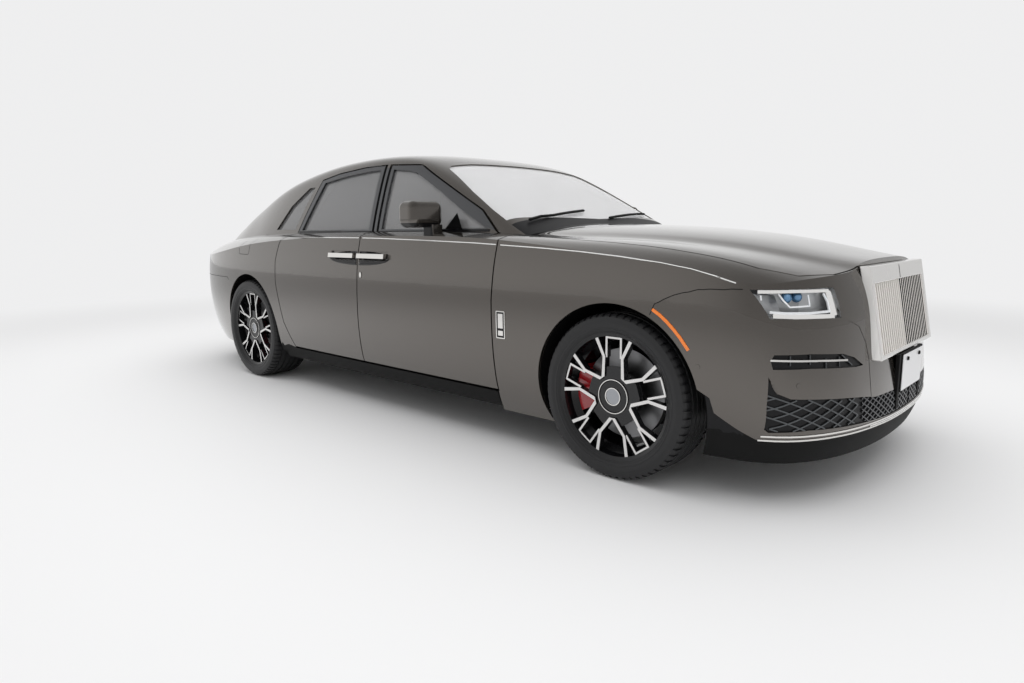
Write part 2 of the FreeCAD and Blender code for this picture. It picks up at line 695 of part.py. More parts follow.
inserts = [whole(low_insert), slot_insert, mirrored(slot_insert), whole(undertray)]
keep_shape("lower_grilles", Part.makeCompound(inserts))

REAR_BUMPER_SHARES = (
    (1.10, 0.125), (1.10, 0.30), (1.28, 0.470), (2.2, 0.470), (2.2, 0.125),
)
rear_bumper = lower(0).common(side_prism(REAR_BUMPER_SHARES, 0, FAR)).cut(lower(SKIN))
rear_bumper = main_solid(rear_bumper.cut(rear_arch))
keep_shape("rear_bumper", whole(rear_bumper))

# Sides of the body: pillars, roof rails, quarter panels and sills
band = block(along(2.2), along(0.183), 0, FAR, high(0.60), TOP)
band = band.cut(block(along(0.24), along(0.1), 0, wide(0.74), high(0.60), TOP))
frame_side = green_shell.common(band).cut(screen_prism).cut(backlight_prism).cut(roof_prism)
frame_side = frame_side.cut(front_room).cut(rear_room).cut(quarter_window).cut(hood_column)
frame_side = frame_side.cut(lid_room)
strip = green_shell.common(shaft(B_RUN, STRIP, 0.60, 1.1, 0, FAR)).cut(roof_prism)
strip_foot = lower(0).cut(lower(FRAME)).common(
    shaft(B_RUN, STRIP, 0.60, 0.80, wide(0.84), wide(0.913)))
hidden = lower(SKIN + GAP * 1.4).cut(lower(DEPTH))
B_POST_SHARES = ((B_RUN, 0.68), (B_RUN, 0.50), (0.5620, 0.184), (0.5620, 0.14))


def post(points, ahead, behind):
    step_a = ahead / BASE
    step_b = behind / BASE
    front = [(run - step_a, share) for run, share in points]
    back = [(run + step_b, share) for run, share in reversed(points)]
    return hidden.common(side_prism(front + back, wide(0.81), FAR))


A_POST_SHARES = ((0.2050, 0.654), (0.2115, 0.475), (0.2100, 0.184), (0.2100, 0.14))
C_POST_SHARES = ((0.8480, 0.654), (0.8640, 0.560), (0.8640, 0.470), (0.8430, 0.290))
b_post = post(B_POST_SHARES, POST, POST)
a_post = post(A_POST_SHARES, POST * 3, POST).cut(hood_column)
c_post = post(C_POST_SHARES, POST, POST).cut(rear_arch)
sill_shell = lower(0).cut(lower(DEPTH))
sill = sill_shell.common(block(
    along(0.866), along(0.2135), 0, FAR, high(0.127), high(SILL_TOP_SHARE)))
sill = sill.cut(rear_arch).cut(front_arch)
QUARTER_SHARES = (
    (0.8390, 0.80), (0.8390, 0.694), (0.8540, 0.635), (0.8640, 0.560), (0.8640, 0.470),
    (0.8430, 0.290), (0.8150, 0.184), (0.8150, 0.150), (0.90, 0.150), (1.10, 0.30), (1.28, 0.470),
    (2.2, 0.470), (2.2, 0.80),
)
quarter = lower(0).common(side_prism(QUARTER_SHARES, 0, FAR)).cut(lower(SKIN))
quarter = quarter.cut(rear_arch).cut(rear_room).cut(lid_room).cut(tail_prism)
deck_hole = block(along(1.7), along(0.99), 0, wide(0.70), 0, TOP)
cabin_hole = block(along(0.99), along(0.8), 0, wide(0.83), 0, TOP)
quarter = quarter.cut(deck_hole).cut(cabin_hole)
inner_rail = lower(SKIN * 0.6).cut(lower(SKIN * 3)).common(side_prism(
    ((0.99, 0.60), (1.70, 0.60), (1.70, 0.8), (0.99, 0.8)), wide(0.60), FAR))
inner_rail = inner_rail.cut(lid_room)
side = frame_side
for piece in (strip, strip_foot, a_post, b_post, c_post, sill, quarter, inner_rail):
    side = side.fuse(piece)
side = main_solid(side)
keep_shape("body_sides", whole(side))
keep_shape("front_fenders", pair(main_solid(wing.cut(side))))

STEEL = size("sheet_steel")
FLOOR = size("floor_thick")
inside = lower(DEPTH)
floor_low = high(0.112)
floor_top = floor_low + FLOOR
TUNNEL = wide(0.16)
WALL_RUN = 0.165
BOOT_RUN = 1.0
TUB = wide(0.60)

# Floor with its tunnel, bulkheads, chassis legs and boot tub
plate = block(along(0.90), along(WALL_RUN), -FAR, FAR, floor_low, floor_top)
tunnel = block(along(0.86), along(WALL_RUN), -TUNNEL, TUNNEL, floor_low, high(0.20))
tunnel_room = block(along(0.90), along(WALL_RUN - 0.02), -TUNNEL + FLOOR, TUNNEL - FLOOR,
                    0, high(0.20) - FLOOR)
bulkhead = block(along(WALL_RUN + 0.006), along(WALL_RUN), -FAR, FAR, floor_low, high(0.655))
heel = block(along(0.885), along(0.878), -TUB, TUB, floor_low, high(0.33))
seat_pan = block(along(BOOT_RUN), along(0.878), -TUB, TUB, high(0.33) - FLOOR, high(0.33))
back_wall = block(along(1.022), along(BOOT_RUN), -TUB, TUB, high(0.33) - FLOOR, high(0.655))
boot_floor = block(along(1.86), along(BOOT_RUN), -TUB, TUB, high(0.33) - FLOOR, high(0.33))
tub_side = block(along(1.86), along(BOOT_RUN), TUB - FLOOR / 2, TUB, high(0.33), high(0.60))
shelf = block(along(1.56), along(BOOT_RUN), -TUB, TUB, high(0.645), high(0.655))
tub_end = block(along(1.86), along(1.84), -TUB, TUB, high(0.33), high(0.465))
leg = block(along(WALL_RUN), along(-1.1), wide(0.385), wide(0.445), high(0.272), high(0.338))
pan = plate.fuse(tunnel)
for piece in (bulkhead, heel, seat_pan, back_wall, boot_floor, tub_side, mirrored(tub_side),
              tub_end, shelf):
    pan = pan.fuse(piece)
both_inside = whole(inside)
pan = pan.common(both_inside)
leg = leg.common(lower(SKIN))
rear_leg = block(along(2.1), along(1.85), wide(0.385), wide(0.445), high(0.31), high(0.36))
rear_leg = rear_leg.common(lower(SKIN))
pan = pan.fuse(leg).fuse(mirrored(leg)).fuse(rear_leg).fuse(mirrored(rear_leg))
pan = pan.cut(tunnel_room)
PAD = size("jack_pad")
for run in (0.25, 0.80):
    spot = block(along(run) - PAD / 2, along(run) + PAD / 2, wide(0.66), wide(0.66) + PAD,
                 floor_low - FLOOR, floor_low)
    pan = pan.fuse(spot).fuse(mirrored(spot))
floor_pan = main_solid(pan)
keep_shape("floor_pan", floor_pan)

# Arch liners behind the skin of all four wheels
LINER = ARCH + GAP * 1.75
liner_room = lower(SKIN)
front_centre = size("wheel_face") + GAP * 1.75 - size("tyre_width") / 2
rear_centre = size("wheel_face") + GAP * 1.75 - size("rear_tyre_width") / 2
SPRING = GAP * 6
SPRING_Y = front_centre - size("rim_radius") * 0.96
SPRING_ROOM = SPRING + GAP
SPRING_OUT = SPRING_Y + SPRING + GAP


def liner(x, inner, low):
    ring = cylinder_y(x, AXLE, LINER + STEEL, inner, FAR)
    ring = ring.cut(block(x - SPRING_ROOM, x + SPRING_ROOM, 0, SPRING_OUT, AXLE, TOP))
    ring = ring.cut(cylinder_y(x, AXLE, LINER, 0, FAR))
    ring = ring.common(block(x - FAR, x + FAR, 0, FAR, low, TOP))
    return main_solid(ring.common(liner_room))


front_liner = liner(FRONT_AXLE, wide(0.545), high(0.19))
rear_liner = liner(REAR_AXLE, TUB, high(0.19))
liners = [front_liner, mirrored(front_liner), rear_liner, mirrored(rear_liner)]
liners = [one.cut(side).cut(mirrored(side)) for one in liners]
liners = [main_solid(one) for one in liners]
keep_shape("wheel_liners", Part.makeCompound(liners))

# Engine as one plain block on the front cross member
ENGINE_LOW = high(0.19)
engine = block(along(0.16), along(-0.12), -wide(0.31), wide(0.31), ENGINE_LOW, high(0.56))
keep_shape("engine_block", engine)

# Wheels
HUB = size("hub_radius")
BORE = size("bore_radius")
STUB = size("stub_radius")
DISC = size("disc_radius")
DISC_THICK = size("disc_thick")
DISC_OUT = DISC_THICK * 0.25
DISC_IN = -DISC_THICK * 0.75
KING = size("kingpin_inset")
PIN = size("kingpin_radius")
RIM = size("rim_radius")
WHEEL_FACE = size("wheel_face")
TYRE_WIDTH = size("tyre_width")
REAR_WIDTH = size("rear_tyre_width")
TYRE = size("tyre_radius")


def new_body(label, placement):
    body = doc.addObject("PartDesign::Body", label)
    body.Label = label
    body.Placement = placement
    nodes.append(body)
    return body


def sketch_on(body, name, role, offset=0.0):
    item = body.newObject("Sketcher::SketchObject", name)
    for feature in body.Origin.OriginFeatures:
        if feature.Role == role:
            item.AttachmentSupport = [(feature, "")]
    item.MapMode = "FlatFace"
    item.AttachmentOffset = FreeCAD.Placement(Vector(0, 0, offset), FreeCAD.Rotation())
    return item


def add_loop(item, points):
    first = item.GeometryCount
    count = len(points)
    for place in range(count):
        x0, y0 = points[place]
        x1, y1 = points[(place + 1) % count]
        item.addGeometry(Part.LineSegment(Vector(x0, y0, 0), Vector(x1, y1, 0)), False)
    for place in range(count):
        item.addConstraint(Sketcher.Constraint(
            "Coincident", first + place, 2, first + (place + 1) % count, 1))


def revolve(body, name, points):
    item = sketch_on(body, name + "_profile", "XY_Plane")
    add_loop(item, points)
    made = body.newObject("PartDesign::Revolution", name)
    made.Profile = item
    made.ReferenceAxis = (item, ["V_Axis"])
    made.Angle = 360
    return made


def pad(body, name, role, loops, offset, length):
    item = sketch_on(body, name + "_outline", role, offset)
    for points in loops:
        add_loop(item, points)
    made = body.newObject("PartDesign::Pad", name)
    made.Profile = item
    made.Length = length
    return made


def corner_place(x, y, side):
    turn = FreeCAD.Rotation(Vector(0, 0, 1), 0 if side > 0 else 180)
    return FreeCAD.Placement(Vector(x, side * y, AXLE), turn)


# Ties a corner's height and place to the driving sizes
def bind_corner(body, x):
    body.setExpression("Placement.Base.z", "sizes.tyre_radius")
    nose = "sizes.overall_length / 2 - sizes.front_overhang"
    body.setExpression("Placement.Base.x", nose if x > 0 else nose + " - sizes.wheel_base")


TYRE_PLAY = GAP * 0.04


def tyre(label, x, width, side):
    centre = WHEEL_FACE + GAP * 1.75 - width / 2
    body = new_body(label, corner_place(x, centre, side))
    half = width / 2
    rim_half = half * 0.89
    wall = TYRE - RIM
    bead = rim_half - GAP - TYRE_PLAY
    seat_r = RIM - GAP * 1.75 + TYRE_PLAY
    edge = RIM + TYRE_PLAY
    side_points = [
        (TYRE, half * 0.80), (TYRE - wall * 0.13, half * 0.94), (TYRE - wall * 0.45, half),
        (TYRE - wall * 0.80, half * 0.97), (edge, half * 0.91), (edge, bead),
        (seat_r, bead - GAP * 0.4), (seat_r, bead * 0.80), (RIM + wall * 0.12, rim_half * 0.80),
        (TYRE - wall * 0.50, half * 0.86), (TYRE - wall * 0.20, half * 0.74),
    ]
    points = side_points + [(r, -y) for r, y in reversed(side_points)]
    revolve(body, label + "_carcass", points)
    bind_corner(body, x)
    return body


# Spoke group as shares of the rim radius: one arm of the claw, its dark root and the inner bracket
CLAW_SHARES = (
    (0.206, 0.262), (0.190, 0.600), (0.333, 0.872), (0.281, 0.892), (0.142, 0.612),
    (0.152, 0.300),
)
ROOT_SHARES = (
    (-0.185, 0.080), (-0.185, 0.430), (-0.100, 0.458), (0.100, 0.458), (0.185, 0.430),
    (0.185, 0.080),
)
BRACKET_SHARES = (
    (-0.147, 0.600), (-0.147, 0.922), (0.147, 0.922), (0.147, 0.600), (0.113, 0.600),
    (0.113, 0.893), (-0.113, 0.893), (-0.113, 0.600),
)
SPOKE_COUNT = 5


def rim_loop(shares, flip=1):
    return [(flip * across * RIM, up * RIM) for across, up in shares]


def wheel(label, x, width, side):
    centre = WHEEL_FACE + GAP * 1.75 - width / 2
    body = new_body(label, corner_place(x, centre, side))
    bind_corner(body, x)
    face = width / 2 * 0.89
    skin = GAP
    well = RIM * 0.87
    seat = RIM - GAP * 1.75
    lip = skin * 0.6
    revolve(body, label + "_barrel", [
        (RIM, face), (RIM, face - skin), (seat, face - skin * 1.4), (seat, face * 0.55),
        (well, face * 0.35), (well, -face * 0.5), (seat, -face * 0.75),
        (seat, -face + skin * 1.4), (RIM, -face + skin), (RIM, -face), (seat - skin, -face),
        (seat - skin, -face * 0.78), (well - skin, -face * 0.5), (well - skin, face * 0.32),
        (seat - lip, face * 0.52), (seat - lip, face - skin), (RIM - lip, face),
    ])
    hub_out = face * 0.90
    hub_in = face * 0.25
    cap = HUB * 1.08
    revolve(body, label + "_hub", [
        (0, hub_out), (HUB * 0.52, hub_out), (HUB * 0.56, hub_out - skin / 4),
        (HUB * 0.98, hub_out - skin / 4), (cap, hub_out - skin), (cap, hub_in),
        (HUB * 1.25, hub_in * 0.6), (HUB * 1.25, DISC_OUT), (DISC, DISC_OUT), (DISC, DISC_IN),
        (HUB, DISC_IN), (HUB, -GAP), (BORE, -GAP), (BORE, hub_in * 0.8), (0, hub_in * 0.8),
    ])
    front = face * 0.93
    deep = face * 0.30
    root = pad(body, label + "_root", "XZ_Plane", [rim_loop(ROOT_SHARES)],
               skin - front, deep - skin)
    bracket = pad(body, label + "_bracket", "XZ_Plane", [rim_loop(BRACKET_SHARES)],
                  skin / 2 - front, deep - skin)
    claw = pad(body, label + "_claw", "XZ_Plane",
               [rim_loop(CLAW_SHARES), rim_loop(CLAW_SHARES, -1)], -front, deep)
    pattern = body.newObject("PartDesign::PolarPattern", label + "_spokes")
    pattern.Originals = [root, bracket, claw]
    for feature in body.Origin.OriginFeatures:
        if feature.Role == "Y_Axis":
            pattern.Axis = (feature, [""])
    pattern.Angle = 360
    pattern.Occurrences = SPOKE_COUNT
    body.Tip = pattern
    return body


CORNERS = (
    ("front_left", FRONT_AXLE, TYRE_WIDTH, 1),
    ("front_right", FRONT_AXLE, TYRE_WIDTH, -1),
    ("rear_left", REAR_AXLE, REAR_WIDTH, 1),
    ("rear_right", REAR_AXLE, REAR_WIDTH, -1),
)
for name, x, width, side_sign in CORNERS:
    tyre(name + "_tyre", x, width, side_sign)
    wheel(name + "_wheel", x, width, side_sign)


PIN_PLAY = STUB * 0.002


# Upright with its stub axle and brake caliper, outboard towards +Y of its own centre
def upright():
    inner = -KING - PIN * 1.7
    inner_face = -KING + PIN * 1.7
    post_half = HUB * 0.62
    tall = DISC * 0.82
    column = Part.makeBox(post_half * 2, inner_face - inner, tall * 2,
                          Vector(-post_half, inner, -tall))
    axle = cylinder_y(0, 0, STUB, inner, GAP * 2)
    boss = cylinder_y(0, 0, HUB * 0.95, inner, inner_face)
    claw = cylinder_y(0, 0, RIM * 0.81, inner, DISC_OUT + GAP * 5)
    claw = claw.cut(cylinder_y(0, 0, DISC * 0.70, inner, FAR))
    claw = claw.cut(cylinder_y(0, 0, DISC + GAP, DISC_IN - GAP, DISC_OUT + GAP))
    wedge = face_of([Vector(0, inner * 2, 0), Vector(-FAR, inner * 2, FAR * 0.52),
                     Vector(-FAR, inner * 2, -FAR * 0.52)]).extrude(Vector(0, FAR, 0))
    claw = claw.common(wedge)
    bracket = Part.makeBox(DISC * 0.80, inner_face - inner, DISC * 0.5,
                           Vector(-DISC * 0.80, inner, -DISC * 0.25))
    made = column.fuse(axle).fuse(boss).fuse(claw).fuse(bracket)
    depth = PIN * 2.5
    for start in (-tall, tall - depth):
        made = made.cut(Part.makeCylinder(PIN + PIN_PLAY, depth, Vector(0, -KING, start)))
    return main_solid(made)


def placed(shape, x, y):
    made = shape.copy()
    made.translate(Vector(x, y, AXLE))
    return made


def centred(x, y):
    return FreeCAD.Placement(Vector(x, y, AXLE), FreeCAD.Rotation())


upright_shape = upright()
keep_shape("front_knuckle_left", upright_shape, centred(FRONT_AXLE, front_centre))
keep_shape("front_knuckle_right", mirrored(upright_shape), centred(FRONT_AXLE, -front_centre))
flipped = upright_shape.mirror(Vector(0, 0, 0), Vector(1, 0, 0))
rear_upright = placed(flipped, REAR_AXLE, rear_centre)

# Front cross member with arms and spring legs
beam_top = ENGINE_LOW
beam_low = beam_top - GAP * 18
cross = block(FRONT_AXLE - GAP * 14, FRONT_AXLE + GAP * 14, -wide(0.47), wide(0.47),
              beam_low, beam_top)
king_y = front_centre - KING
arm_end = king_y + PIN * 1.4
tall = DISC * 0.82
arm_low = block(FRONT_AXLE - GAP * 3, FRONT_AXLE + GAP * 3, wide(0.40), arm_end,
                AXLE - tall - GAP * 4, AXLE - tall - GAP)
arm_top = block(FRONT_AXLE - GAP * 3, FRONT_AXLE + GAP * 3, wide(0.445), arm_end,
                AXLE + tall + GAP, AXLE + tall + GAP * 4)
low_pin = Part.makeCylinder(PIN, PIN * 2 + GAP, Vector(FRONT_AXLE, king_y, AXLE - tall - GAP))
top_pin = Part.makeCylinder(
    PIN, PIN * 2 + GAP, Vector(FRONT_AXLE, king_y, AXLE + tall - PIN * 2))
leg_y = SPRING_Y
spring_low = AXLE - DISC * 0.95
tower_low = AXLE + LINER + STEEL + GAP
spring = Part.makeCylinder(
    SPRING, tower_low + GAP - spring_low, Vector(FRONT_AXLE, leg_y, spring_low))
tower = block(FRONT_AXLE - GAP * 8, FRONT_AXLE + GAP * 8, wide(0.385), leg_y + SPRING,
              tower_low, tower_low + GAP * 3)
mount_leg = block(FRONT_AXLE - GAP * 8, FRONT_AXLE + GAP * 8, wide(0.385), wide(0.445),
                  high(0.18), tower_low + GAP * 3)
subframe = cross
for piece in (arm_low, arm_top, low_pin, top_pin, spring, tower, mount_leg):
    subframe = subframe.fuse(piece).fuse(mirrored(piece))
subframe = main_solid(subframe.cut(floor_pan).cut(engine))
keep_shape("front_subframe", subframe)

# Rear cross member, final drive, arms, spring legs and uprights
rear_cross = block(REAR_AXLE - GAP * 26, REAR_AXLE + GAP * 26, -wide(0.46), wide(0.46),
                   high(0.165), high(0.195))
final_drive = block(REAR_AXLE - GAP * 20, REAR_AXLE + GAP * 20, -wide(0.15), wide(0.15),
                    high(0.195), high(0.29))
rear_end = rear_centre - KING
rear_arm = block(REAR_AXLE - GAP * 6, REAR_AXLE + GAP * 6, wide(0.40), rear_end,
                 AXLE - DISC * 0.72, AXLE - DISC * 0.52)
rear_shaft = cylinder_y(REAR_AXLE, AXLE, STUB, wide(0.14), rear_end)
rear_top = block(REAR_AXLE - GAP * 3, REAR_AXLE + GAP * 3, wide(0.50), rear_end,
                 AXLE + DISC * 0.30, AXLE + DISC * 0.50)
rear_spring = Part.makeCylinder(GAP * 6, high(0.33) - FLOOR - high(0.17),
                                Vector(REAR_AXLE, wide(0.53), high(0.17)))
suspension = rear_cross.fuse(final_drive)
for piece in (rear_arm, rear_shaft, rear_top, rear_spring, rear_upright):
    suspension = suspension.fuse(piece).fuse(mirrored(piece))
suspension = main_solid(suspension)
keep_shape("rear_suspension", suspension)

# Grille frame and its upright vanes
outer = grille_slab(GRILLE_HALF, GRILLE_LOW, GRILLE_TOP, 0, FRAME_DEEP)
hole = grille_slab(GRILLE_HALF - 0.032, GRILLE_LOW + 0.012, GRILLE_TOP - 0.045, GAP, FAR)
grille_frame = outer.cut(hole)
keep_shape("grille_frame", main_solid(grille_frame))
vane_count = 26
vane_span = wide((GRILLE_HALF - 0.032) * 2)
vane_room = grille_slab(GRILLE_HALF - 0.032, GRILLE_LOW + 0.012, GRILLE_TOP - 0.045,
                        -GAP, GAP * 3.5)
back_bar = grille_slab(GRILLE_HALF - 0.032, GRILLE_LOW + 0.012, GRILLE_TOP - 0.045,
                       -GAP * 3.5, GAP * 1.5)
pitch = vane_span / vane_count
vanes = back_bar
strips = []
for place in range(vane_count):
    y = -vane_span / 2 + pitch * (place + 0.5)
    strips.append(block(along(0), along(-1.2), y - pitch * 0.16, y + pitch * 0.16, 0, TOP))
vanes = vane_room.common(Part.makeCompound(strips)).fuse(back_bar)
keep_shape("grille_vanes", main_solid(vanes))

# Dashboard with its console and steering column
dash_face = face_of([
    Vector(along(0.20), 0, high(0.655)), Vector(along(0.29), 0, high(0.665)),
    Vector(along(0.315), 0, high(0.63)), Vector(along(0.30), 0, high(0.50)),
    Vector(along(0.26), 0, high(0.44)), Vector(along(0.172), 0, high(0.50)),
    Vector(along(0.172), 0, high(0.64))])
dash = dash_face.extrude(Vector(0, wide(0.78), 0))
console = block(along(0.56), along(0.25), 0, wide(0.15), high(0.20), high(0.385))
riser = block(along(0.31), along(0.22), 0, wide(0.15), high(0.20), high(0.52))
dash = whole(dash.fuse(console).fuse(riser)).common(both_inside)
TILT = math.radians(24)
wheel_centre = Vector(along(0.365), wide(0.375), high(0.60))
column_axis = Vector(-math.cos(TILT), 0, math.sin(TILT))
column_start = wheel_centre - column_axis * (GAP * 30)
column = Part.makeCylinder(GAP * 4, GAP * 22.5, column_start, column_axis)
column_bore = Part.makeCylinder(
    GAP * 3 + PIN_PLAY, GAP * 5, wheel_centre - column_axis * (GAP * 11), column_axis)
dash = main_solid(dash.fuse(column).cut(column_bore))
keep_shape("dashboard", dash)
steer_body = new_body("steering_wheel", FreeCAD.Placement(
    wheel_centre, FreeCAD.Rotation(Vector(0, 1, 0), column_axis)))
grip = size("grip_radius")
steer = size("steering_radius")
rim_sketch = sketch_on(steer_body, "steering_rim_profile", "XY_Plane")
rim_sketch.addGeometry(Part.Circle(Vector(steer, 0, 0), Vector(0, 0, 1), grip), False)
rim_sketch.addConstraint(Sketcher.Constraint("Radius", 0, grip))
rim_sketch.setExpression("Constraints[0]", "sizes.grip_radius")
rim_feature = steer_body.newObject("PartDesign::Revolution", "steering_rim")
rim_feature.Profile = rim_sketch
rim_feature.ReferenceAxis = (rim_sketch, ["V_Axis"])
rim_feature.Angle = 360
revolve(steer_body, "steering_boss", [
    (0, GAP), (GAP * 7, GAP), (GAP * 9, -GAP), (GAP * 4, -GAP * 6), (GAP * 3, -GAP * 6.2),
    (GAP * 3, -GAP * 10),
    (0, -GAP * 10)])
spoke_low = GAP * 1.8
pad(steer_body, "steering_arm_across", "XZ_Plane", [[
    (-steer, -spoke_low), (steer, -spoke_low), (steer, spoke_low), (-steer, spoke_low)]],
    GAP * 0.5, GAP)
pad(steer_body, "steering_arm_down", "XZ_Plane", [[
    (-spoke_low, -steer), (spoke_low, -steer), (spoke_low, 0), (-spoke_low, 0)]],
    GAP * 0.5, GAP)


# Seats
def seat(x0, x1, x2, y0, y1, z0, z1, z2, back_thick):
    cushion = block(x1, x0, y0, y1, z0, z1)
    back = face_of([Vector(x1 + back_thick * 0.6, y0, z0), Vector(x1 - back_thick * 0.4, y0, z0),
                    Vector(x2 - back_thick * 0.5, y0, z2), Vector(x2 + back_thick * 0.4, y0, z2)])
    return cushion.fuse(back.extrude(Vector(0, y1 - y0, 0)))


front_seat = seat(along(0.415), along(0.575), along(0.628), wide(0.175), wide(0.755), floor_top,
                  high(0.335), high(0.74), GAP * 16)
rear_seat = seat(along(0.80), along(0.94), along(0.975), 0, wide(0.58),
                 high(0.33), high(0.375), high(0.70), GAP * 12)
rear_base = block(along(0.878), along(0.80), 0, wide(0.58), floor_top, high(0.375))
rear_bench = whole(rear_seat.fuse(rear_base)).cut(floor_pan).cut(tunnel_room)
front_seat = front_seat.cut(floor_pan)
seats = [main_solid(front_seat), mirrored(main_solid(front_seat)), main_solid(rear_bench)]
keep_shape("seats", Part.makeCompound(seats))

# Exhaust along the tunnel, under the rear cross member, to two silencers
PIPE = size("pipe_radius")
tail_x = along(1.97)
box_x = along(1.55)
pipe_z = high(0.165) - PIPE - GAP / 2
TUBE = PIPE * 0.9
tube_y = wide(0.045) + TUBE
spine = Part.makeCylinder(TUBE, along(0.20) - along(1.32), Vector(along(1.32), tube_y, pipe_z),
                          Vector(1, 0, 0))
link = cylinder_y(along(1.305), pipe_z, TUBE * 1.1, tube_y - TUBE, wide(0.52))
silencer = block(along(1.66), along(1.31), wide(0.34), wide(0.56), pipe_z - TUBE, high(0.27))
silencer = silencer.makeFillet(
    TUBE, [edge for edge in silencer.Edges if edge.BoundBox.XLength > TUBE * 2
           and edge.BoundBox.YLength < GAP and edge.BoundBox.ZLength < GAP])
tail_pipe = Part.makeCylinder(PIPE, along(1.64) - tail_x, Vector(tail_x, wide(0.50), high(0.20)),
                              Vector(1, 0, 0))
exhaust = spine.fuse(link).fuse(silencer).fuse(tail_pipe)
exhaust = exhaust.fuse(mirrored(exhaust))
bridge = cylinder_y(along(0.29), pipe_z, TUBE * 0.8, -tube_y, tube_y)
exhaust = main_solid(exhaust.fuse(bridge).cut(whole(rear_bumper)).cut(floor_pan).cut(suspension))
keep_shape("exhaust", exhaust)

doc.recompute()
for item in doc.Objects:
    if "Invalid" in item.State or "Error" in item.State:
        raise RuntimeError("%s did not recompute" % item.Label)
for item in nodes:
    if item.Shape.isNull() or not item.Shape.isValid():
        raise RuntimeError("%s has no valid shape" % item.Label)
os.makedirs("parts", exist_ok=True)
for item in nodes:
    item.Shape.exportStep("parts/%s.step" % item.Label)
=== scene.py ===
"""Dresses a packed four-door saloon: paint, glass, lamps, tyres, trim and cabin."""

import json
import math

import bmesh
import bpy
from bpy.props import (
    FloatProperty, FloatVectorProperty, IntProperty, PointerProperty)
from mathutils import Matrix, Vector
from mathutils.bvhtree import BVHTree


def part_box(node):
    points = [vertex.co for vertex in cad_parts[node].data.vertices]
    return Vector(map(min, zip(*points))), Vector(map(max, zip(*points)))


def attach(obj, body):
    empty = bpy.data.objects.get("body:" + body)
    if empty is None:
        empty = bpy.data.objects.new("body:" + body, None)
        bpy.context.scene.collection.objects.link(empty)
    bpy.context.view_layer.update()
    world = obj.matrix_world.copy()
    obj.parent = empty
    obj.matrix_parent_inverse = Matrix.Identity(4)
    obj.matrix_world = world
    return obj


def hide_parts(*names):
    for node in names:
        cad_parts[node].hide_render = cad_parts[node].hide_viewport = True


bl_info = {
    "name": "Saloon dressing",
    "version": (1, 0, 0),
    "blender": (4, 5, 0),
    "location": "View3D > Sidebar > Saloon",
    "description": "Paints and trims a packed saloon frame",
    "category": "Object",
}

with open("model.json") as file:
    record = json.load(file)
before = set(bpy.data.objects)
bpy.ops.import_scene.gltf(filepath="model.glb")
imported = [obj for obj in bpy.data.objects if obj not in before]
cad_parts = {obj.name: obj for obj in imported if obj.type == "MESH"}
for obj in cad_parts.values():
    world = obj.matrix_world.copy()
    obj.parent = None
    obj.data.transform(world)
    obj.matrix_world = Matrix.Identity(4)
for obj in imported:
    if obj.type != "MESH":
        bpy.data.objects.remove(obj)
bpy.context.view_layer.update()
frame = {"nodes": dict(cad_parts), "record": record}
NODES = frame["nodes"]
SIDES = {"left": 1, "right": -1}
RIM_RADIUS = 0.284
BACKGROUND = (0.86, 0.86, 0.865, 1)
CORNERS = ("front_left", "front_right", "rear_left", "rear_right")


def span(node):
    """Lowest corner, highest corner and centre of a CAD node."""
    low, high = (Vector(corner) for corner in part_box(node))
    return low, high, (low + high) / 2


class SaloonFinishes(bpy.types.PropertyGroup):
    paint: FloatVectorProperty(
        name="Paint", description="Metallic flake under the clear coat",
        default=(0.108, 0.096, 0.085), subtype="COLOR", min=0, max=1)
    hide: FloatVectorProperty(
        name="Hide", description="Cabin leather",
        default=(0.62, 0.60, 0.57), subtype="COLOR", min=0, max=1)
    caliper: FloatVectorProperty(
        name="Caliper", description="Brake caliper enamel",
        default=(0.42, 0.012, 0.018), subtype="COLOR", min=0, max=1)
    # The side glass colour is partly the windows' grey tint and partly a painted reflection:
    # the same grey is also shown as a diffuse finish.
    glass: FloatVectorProperty(
        name="Side glass", description="Tint of the door windows",
        default=(0.44, 0.44, 0.445), subtype="COLOR", min=0, max=1)


class SaloonTyres(bpy.types.PropertyGroup):
    segments: IntProperty(
        name="Segments", description="Steps round a tyre", default=192, min=48)
    groove_depth: FloatProperty(
        name="Groove depth", description="Depth of the tread grooves", default=0.006,
        unit="LENGTH")
    sipe_every: IntProperty(
        name="Sipe spacing", description="Steps between two cross grooves", default=3, min=2)


class SaloonTrim(bpy.types.PropertyGroup):
    line_width: FloatProperty(
        name="Line width", description="Width of the bright lines on the bumper",
        default=0.009, unit="LENGTH")
    mesh_pitch: FloatProperty(
        name="Mesh pitch", description="Width of one cell of the middle grille mesh",
        default=0.046, unit="LENGTH")
    mesh_rise: FloatProperty(
        name="Mesh rise", description="Height of one cell of the middle grille mesh",
        default=0.026, unit="LENGTH")
    coach_width: FloatProperty(
        name="Coach line", description="Width of the painted line along the shoulder",
        default=0.0045, unit="LENGTH")
    plate_size: FloatVectorProperty(
        name="Plate size", description="Thickness, width and height of the blank plate",
        default=(0.003, 0.305, 0.155), unit="LENGTH")


